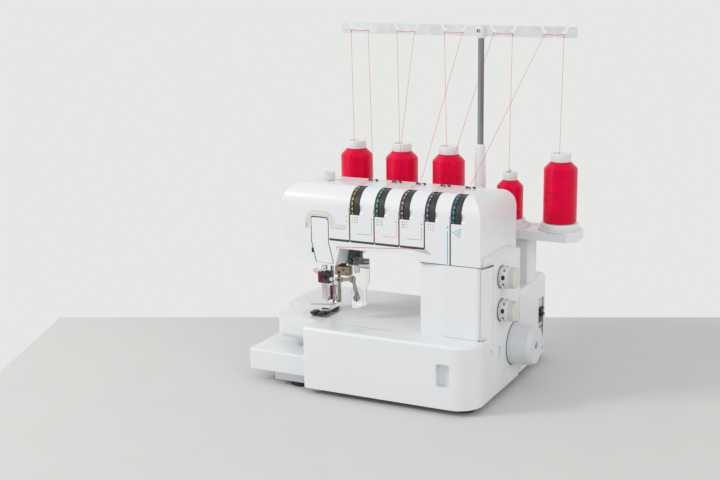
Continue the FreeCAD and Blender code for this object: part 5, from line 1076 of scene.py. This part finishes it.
# spreader: brass block, swinging rod with its hook, and the casting that carries them
spreader = {
    "block": ((-92.6, -70.4, 145.0), (-71.0, -60.0, 157.4), 0.9, 3),
    "holes": ((-86.6, 148.8, 2.1), (-79.4, 152.6, 1.4), (-75.0, 148.4, 1.1)),
    "holeY": -70.45,
    "hole": (0.5, "y", 28),
    "latch": ((-86.0, -68.4, 157.2), (-78.5, -63.0, 160.6), 0.6),
    "rodSpot": (-89.0, -65.0),
    "rod": (106.5, 160.0, 1.9, 32),
    "rodRound": 0.4,
    "hook": (
        (-89.0, -65.0, 109.2), (-88.7, -72.0, 108.8), (-88.4, -80.4, 107.8),
        (-93.0, -81.4, 107.2), (-108.0, -82.2, 106.0), (-124.0, -83.0, 104.4),
    ),
    "hookRadius": 0.6,
    "casting": ((-72.4, -71.0, 160.5), (-57.0, -57.0, 189.8)),
    "castingDish": ("front", 2.4, 1.6),
    "castingRound": (1.4, 3),
    "bolts": ((-68.4, -70.4, 166.5), (-61.6, -70.4, 172.0)),
    "bolt": (2.2, 3.0, "y", 24, 0.4),
    "wing": ((-79.6, -68.5, 161.0), (-70.0, -56.5, 181.0), 2.2, 3),
    "cap": ((-71.4, -71.6, 183.5), (-59.0, -58.0, 189.6), 1.2, 3),
    "clip": ((-58.6, -71.8, 168.0), (-55.6, -66.0, 188.0), 0.8),
}
dress("spreaderBlock", [roundBlock(*spreader["block"])], "brass", "base", "spreader_block")
# black discs of painted shade stand for the holes in the brass block; a black latch sits on its top
holes = []
for x, z, radius in spreader["holes"]:
    holes.append(startDrum((x, spreader["holeY"], z), radius, *spreader["hole"]))
blackTrim("spreaderHoleShadesAndLatch", *holes, roundBlock(*spreader["latch"]))
rod = roundEdges(standDrum(spreader["rodSpot"], *spreader["rod"]), spreader["rodRound"])
hook = layTube(spreader["hook"], spreader["hookRadius"])
dress("spreaderRod", [rod, hook], "brass", "spreader_arm", "spreader")
casting = sinkFace(startBlock(*spreader["casting"]), *spreader["castingDish"])
roundEdges(casting, *spreader["castingRound"])
bolts = [roundDrum(spot, *spreader["bolt"]) for spot in spreader["bolts"]]
dress("spreaderCasting", [casting, *bolts], "slateCasting", "base", "spreader_bracket")
dress("castingWing", [roundBlock(*spreader["wing"])], "castFrame", "base", "spreader_bracket")
blackTrim("castingCap", roundBlock(*spreader["cap"]), roundBlock(*spreader["clip"]))
print("spreader built")

# guard arms, their screws and the clear guard
guard = {
    "arms": (
        [(-82.0, 137.6), (-64.0, 140.4), (-62.0, 143.0), (-64.0, 145.6), (-82.0, 141.6)],
        [(-91.6, 138.0), (-86.0, 135.6), (-80.0, 136.4), (-79.0, 142.4), (-86.0, 143.4), (-91.6, 141.4)],
        [(-66.4, 139.0), (-61.4, 140.4), (-56.0, 119.6), (-60.6, 117.4)],
    ),
    "armDepth": (-72.6, -70.2),
    "armRound": 0.7,
    "post": ((-60.0, -66.0, 156.0), 3.0, 12.0, "z", 28, 0.5),
    "stay": ((-50.0, -66.4, 160.0), 3.6, 11.0, "x", 32, 0.6),
    "screws": ((-63.9, -75.2, 143.0), (-58.1, -75.2, 118.0)),
    "screw": (4.8, 2.4, "y", 40),
    "screwDish": ("front", 1.1, 0.8),
    "screwRound": 0.3,
    "slotLow": (-0.6, -0.5, -3.2),
    "slotHigh": (0.6, -0.2, 3.2),
    "forkHole": ((-85.6, -72.65, 139.4), 1.9, 0.4, "y", 28),
    "plate": [
        (-62.0, 171.6), (-60.0, 173.0), (-40.6, 173.0), (-39.2, 171.6), (-39.4, 143.0), (-44.2, 132.0),
        (-44.4, 109.6), (-58.0, 103.4), (-66.0, 104.0), (-66.0, 128.0), (-62.0, 136.0),
    ],
    "plateDepth": (-74.3, -72.8),
    "plateRound": 0.25,
}
guardArms = [standProfile(outline, guard["armDepth"], guard["armRound"]) for outline in guard["arms"]]
guardStays = [roundDrum(*guard["post"]), roundDrum(*guard["stay"])]
dress("guardStays", guardStays, "polishedSteel", "base")
shadows = []
for spot in guard["screws"]:
    screw = sinkFace(startDrum(spot, *guard["screw"]), *guard["screwDish"])
    guardArms.append(roundEdges(screw, guard["screwRound"]))
    shadows.append(startBlock(shift(spot, guard["slotLow"]), shift(spot, guard["slotHigh"])))
dress("guardArms", guardArms, "smokedChrome", "base", "spreader_bracket")
blackTrim("guardShadows", *shadows, startDrum(*guard["forkHole"]))
clearGuard = standProfile(guard["plate"], guard["plateDepth"], guard["plateRound"])
dress("clearGuard", [clearGuard], "clearPlastic", "base", "clear_guard")
print("guard built")

# threads on the front of the arm and down to the spreader, and a black strip of painted shade in the seam
# round the column
front = {
    "slotRun": [(52.0, -101.7, 200.2), (-10.0, -101.8, 195.9), (-71.5, -101.9, 191.6)],
    "eyeRun": [(-71.5, -101.9, 191.6), (-72.2, -100.0, 178.0), (-73.0, -98.5, 162.0), (-86.8, -71.2, 149.4)],
    "grooves": ((-17.5, 202.4, 219.0), (17.4, 202.4, 219.0), (52.3, 204.0, 219.0)),
    "grooveY": (-101.2, -101.25),
    "grooveRadius": 0.35,
    "seam": ((46.0, -101.6, 182.8), (127.3, -97.0, 183.45)),
    "cheekSeam": ((127.6, -99.0, 180.62), (133.75, -71.0, 180.98)),
    "cheekSlope": 20.2,
}
layThread("slotThread", front["slotRun"])
layThread("eyeThread", front["eyeRun"])
endY, middleY = front["grooveY"]
grooveThreads = []
for x, low, high in front["grooves"]:
    groovePath = [(x, endY, low), (x, middleY, (low + high) / 2), (x, endY, high)]
    grooveThreads.append(layTube(groovePath, front["grooveRadius"]))
threadTrim("grooveThreads", "base", *grooveThreads)
# the seam strips are painted shade, standing a little proud of the face to darken the seam line
seam, cheekSeam = startBlock(*front["seam"]), startBlock(*front["cheekSeam"])
rightX = (front["cheekSeam"][1][0] - edgeReach) * mm
frontY = (front["cheekSeam"][0][1] + edgeReach) * mm
slideEdges(cheekSeam, lambda a, b: min(a.x, b.x) > rightX and max(a.y, b.y) < frontY, front["cheekSlope"])
blackTrim("columnSeamShade", seam, cheekSeam)
print("front threads laid")

# painted shade: a black plate behind the gap round the take-up cover, with the catch at its side, and a grey
# plate for the shaded pocket at the end of the slot
tongue = {
    "outline": [
        (-102.4, 168.9), (-76.4, 168.9), (-82.95, 195.0), (-82.95, 226.0),
        (-85.4, 229.3), (-107.2, 229.3), (-109.05, 227.4), (-109.05, 195.0),
    ],
    "depth": (-101.1, -99.4),
    "catch": ((-108.6, -102.0, 181.0), (-106.0, -100.0, 187.4), 0.4),
    "pocket": [(53.0, 201.2), (62.1, 194.0), (34.0, 197.4), (52.6, 198.8)],
    "pocketDepth": (-101.56, -101.3),
}
blackTrim("tongueShade", standProfile(tongue["outline"], tongue["depth"]), roundBlock(*tongue["catch"]))
# the pocket is a flat grey plate of painted shade on the face of the arm
pocket = standProfile(tongue["pocket"], tongue["pocketDepth"])
dress("slotPocketShade", [pocket], "greyBase", "base")
print("take-up cover edged")

# ribbed pressure knob on the top of the head
knobShape = {
    "spot": (-111.0, -45.0),
    "size": (267.7, 277.6, 7.0),
    "ribs": 20,
    "rib": (0.18, 0.4),
    "steps": ((1.0, -0.8), (1.2, 0.6)),
}
knob = standDrum(knobShape["spot"], *knobShape["size"], 2 * knobShape["ribs"])
ribSides(knob, 2, *knobShape["rib"])
chooseFaces(knob, lambda face: face.normal.z > flatness)
for inset, rise in knobShape["steps"]:
    bpy.ops.mesh.inset(thickness=inset * mm)
    bpy.ops.mesh.extrude_region_move(TRANSFORM_OT_translate={"value": (0, 0, rise * mm)})
leaveEdit()
dress("pressureKnob", [knob], "whiteTrim", "pressure", "pressure_knob", angle=25)
print("pressure knob ribbed")

# marks beside the handwheel, grey strips of painted shade along the seams there, and its centre dimple
sideMarks = {
    "face": 134.0,
    "dots": ((-49.1, 68.4, 1.3), (-50.6, 58.4, 0.9)),
    "dot": (0.12, "x", 20),
    "ticks": (
        ((-52.6, 64.6), (-46.0, 65.2)),
        ((-50.6, 65.6), (-50.6, 59.4)),
        ((-36.6, 63.0), (-32.0, 64.4)),
        ((-15.2, 93.0), (-13.2, 95.2)),
    ),
    "tick": (0.35, 2),
    "inkHalf": 0.05,
    "seams": (
        ((133.9, -37.8, 8.4), (134.03, -37.4, 31.5), 0.02, 1),
        ((133.9, -37.8, 31.1), (134.03, 24.2, 31.5), 0.02, 1),
    ),
    "dimple": ((165.95, 2.0, 59.0), 3.7, 0.3, "x", 40),
    "dimpleDish": ("right", 0.5, 0.12),
}
face, inkHalf = sideMarks["face"], sideMarks["inkHalf"]
marks = [startDrum((face, y, z), radius, *sideMarks["dot"]) for y, z, radius in sideMarks["dots"]]
for first, second in sideMarks["ticks"]:
    middle = [(a + b) / 2 for a, b in zip(first, second)]
    marks.append(layTube([(face, *spot) for spot in (first, middle, second)], *sideMarks["tick"]))
for piece in marks:
    for point in piece.data.vertices:  # pressed flat, as ink is
        point.co.x = max((face - inkHalf) * mm, min((face + inkHalf) * mm, point.co.x))
dress("sideMarks", marks, "inkBlack", "base")
# grey strips of painted shade along the side seams
seams = [roundBlock(*seam) for seam in sideMarks["seams"]]
dress("sideSeamShade", seams, "dimpleGrey", "base")
dimple = sinkFace(startDrum(*sideMarks["dimple"]), *sideMarks["dimpleDish"])
dress("wheelDimple", [dimple], "dimpleGrey", "lower_drive")
print("side marks set")

# a dark frame of painted shade round the recessed switch panel, the rocker nub and the rim of the mains
# socket
switch = {
    "surround": ((132.2, 100.7, 14.7), (133.3, 121.3, 92.3)),
    "surroundDish": ("right", 1.1, 0.9),
    "surroundRound": 0.15,
    "nub": ((134.2, 105.4, 67.0), (137.8, 116.6, 71.0), 1.0, 3),
    "socket": ((132.6, 103.0, 22.4), (133.5, 119.0, 52.0)),
    "socketRim": 2.6,
    "socketRound": 0.25,
}
surround = sinkFace(startBlock(*switch["surround"]), *switch["surroundDish"])
blackTrim("switchRecessShade", roundEdges(surround, switch["surroundRound"]))
dress("rockerNub", [roundBlock(*switch["nub"])], "inkBlack", "rocker")
(lowX, lowY, lowZ), (highX, highY, highZ) = switch["socket"]
rim = switch["socketRim"]
rimBars = (
    ((lowX, lowY, lowZ), (highX, lowY + rim, highZ)),
    ((lowX, highY - rim, lowZ), (highX, highY, highZ)),
    ((lowX, lowY, lowZ), (highX, highY, lowZ + rim)),
    ((lowX, lowY, highZ - rim), (highX, highY, highZ)),
)
socketRim = [roundBlock(*corners, switch["socketRound"]) for corners in rimBars]
dress("socketRim", socketRim, "socketTan", "base")
print("switch dressed")

# cooling slots in the side of the motor block as black bars of painted shade, and the panel that closes its
# front
motorBlock = {
    "ventY": (58.0, 60.6),
    "ventX": (-0.06, 0.9),
    "ventZ": (62.0, 102.0),
    "ventRound": (1.1, 4),
    "step": 7.5,
    "count": 8,
    "panel": ((0.6, 24.5, 84.0), (43.2, 26.3, 122.8), 0.3),
}
vents = []
for index in range(motorBlock["count"]):
    ventY = [y + motorBlock["step"] * index for y in motorBlock["ventY"]]
    vent = startBlock(*zip(motorBlock["ventX"], ventY, motorBlock["ventZ"]))
    bevelEdges(vent, lambda a, b: abs(a.x - b.x) > edgeReach * mm, *motorBlock["ventRound"])
    vents.append(vent)
blackTrim("motorVentShades", *vents)
dress("rearFrontPanel", [roundBlock(*motorBlock["panel"])], "whiteCasing", "base")
print("motor block finished")

# thread over the rail between each pair of notches
rail = {"y": 79.0, "middle": 454.2, "radius": 0.25}
railThreads = []
for firstX, secondX in zip(routes["upNotchX"], routes["downNotchX"]):
    end = routes["notch"][1]
    railSpots = ((firstX, end), ((firstX + secondX) / 2, rail["middle"]), (secondX, end))
    railThreads.append(layTube([(x, rail["y"], z) for x, z in railSpots], rail["radius"]))
threadTrim("railThreads", "mast", *railThreads)
print("rail threads laid")

# printed dots and lines on the bed, which swing with the front cover
bed = {
    "top": 90.0,
    "dots": (
        (-97.0, -104.0), (-90.0, -112.0), (-84.0, -98.0), (-76.0, -108.0),
        (-70.0, -116.0), (-64.0, -104.0), (-58.0, -112.0),
    ),
    "dot": (0.8, 0.1, "z", 14),
    "lines": (
        ((-56.0, -107.3, 89.96), (9.0, -106.7, 90.05), 0.02, 1),
        ((-40.0, -120.3, 89.96), (-22.0, -119.7, 90.05), 0.02, 1),
    ),
}
bedMarks = [startDrum((x, y, bed["top"]), *bed["dot"]) for x, y in bed["dots"]]
bedMarks += [roundBlock(*line) for line in bed["lines"]]
dress("bedMarks", bedMarks, "inkSlate", "cover")
print("bed marks printed")

# table, backdrop and studio light, in metres
studio = {
    "tableTone": (0.68, 0.68, 0.665),
    "tableReach": {"left": -0.578, "right": 4.0, "front": -4.0, "back": 0.262},
    "wallTone": (0.80, 0.80, 0.79),
    "fill": 0.69,
    "lamps": {
        "key": {"place": (-1.7, -1.35, 1.45), "size": 0.6, "power": 23.5},
        "soft": {"place": (1.8, -1.0, 1.1), "size": 1.2, "power": 9.0},
    },
    "lampAim": (0, 0, 0.18),
}
tableLook = {"Tone": studio["tableTone"], "Drift": 0.02, "Gloss": 0.7, "Smudge": 0.1}
makeFinish("tableTop", "skin", tableLook, {"IOR": 1.3})
clearPick()
bpy.ops.mesh.primitive_plane_add(size=1)
table = bpy.context.object
table.name = "studioTable"
settle(table)
reach = studio["tableReach"]
tableTurn = Matrix.Rotation(math.radians(cameraStand["turn"]), 3, "Z")
for corner in table.data.vertices:
    across = reach["left"] if corner.co.x < 0 else reach["right"]
    deep = reach["front"] if corner.co.y < 0 else reach["back"]
    corner.co = tableTurn @ Vector((across, deep, 0))
table.data.materials.append(finishes["tableTop"])
table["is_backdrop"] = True

for name, values in studio["lamps"].items():
    clearPick()
    lampPlace = Vector(values["place"])
    bpy.ops.object.light_add(type="AREA", location=lampPlace)
    lamp = bpy.context.object
    lamp.name = name + "Lamp"
    lamp.data.size = values["size"]
    lamp.data.energy = values["power"]
    lamp.rotation_euler = (Vector(studio["lampAim"]) - lampPlace).to_track_quat("-Z", "Y").to_euler()

# the world lights the part with the fill and shows the wall to the camera, metal and glass
world = bpy.data.worlds.new("studioWorld")
scene.world = world
world.use_nodes = True
air = world.node_tree
air.nodes.clear()
worldEnd = air.nodes.new("ShaderNodeOutputWorld")
light = air.nodes.new("ShaderNodeBackground")
wall = air.nodes.new("ShaderNodeBackground")
either = air.nodes.new("ShaderNodeMixShader")
rays = air.nodes.new("ShaderNodeLightPath").outputs
feedAll(air, light, {"Color": (1, 1, 1, 1), "Strength": studio["fill"]})
feedAll(air, wall, {"Color": (*studio["wallTone"], 1)})
seen = addMath(air, "MAXIMUM", rays["Is Camera Ray"], rays["Is Transmission Ray"])
seen = addMath(air, "MAXIMUM", seen, rays["Is Glossy Ray"])
for socket, source in zip(either.inputs, (seen, light.outputs[0], wall.outputs[0])):
    air.links.new(source, socket)
air.links.new(either.outputs[0], worldEnd.inputs["Surface"])
scene.view_settings.view_transform = "Standard"
print("studio lit")

low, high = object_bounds()
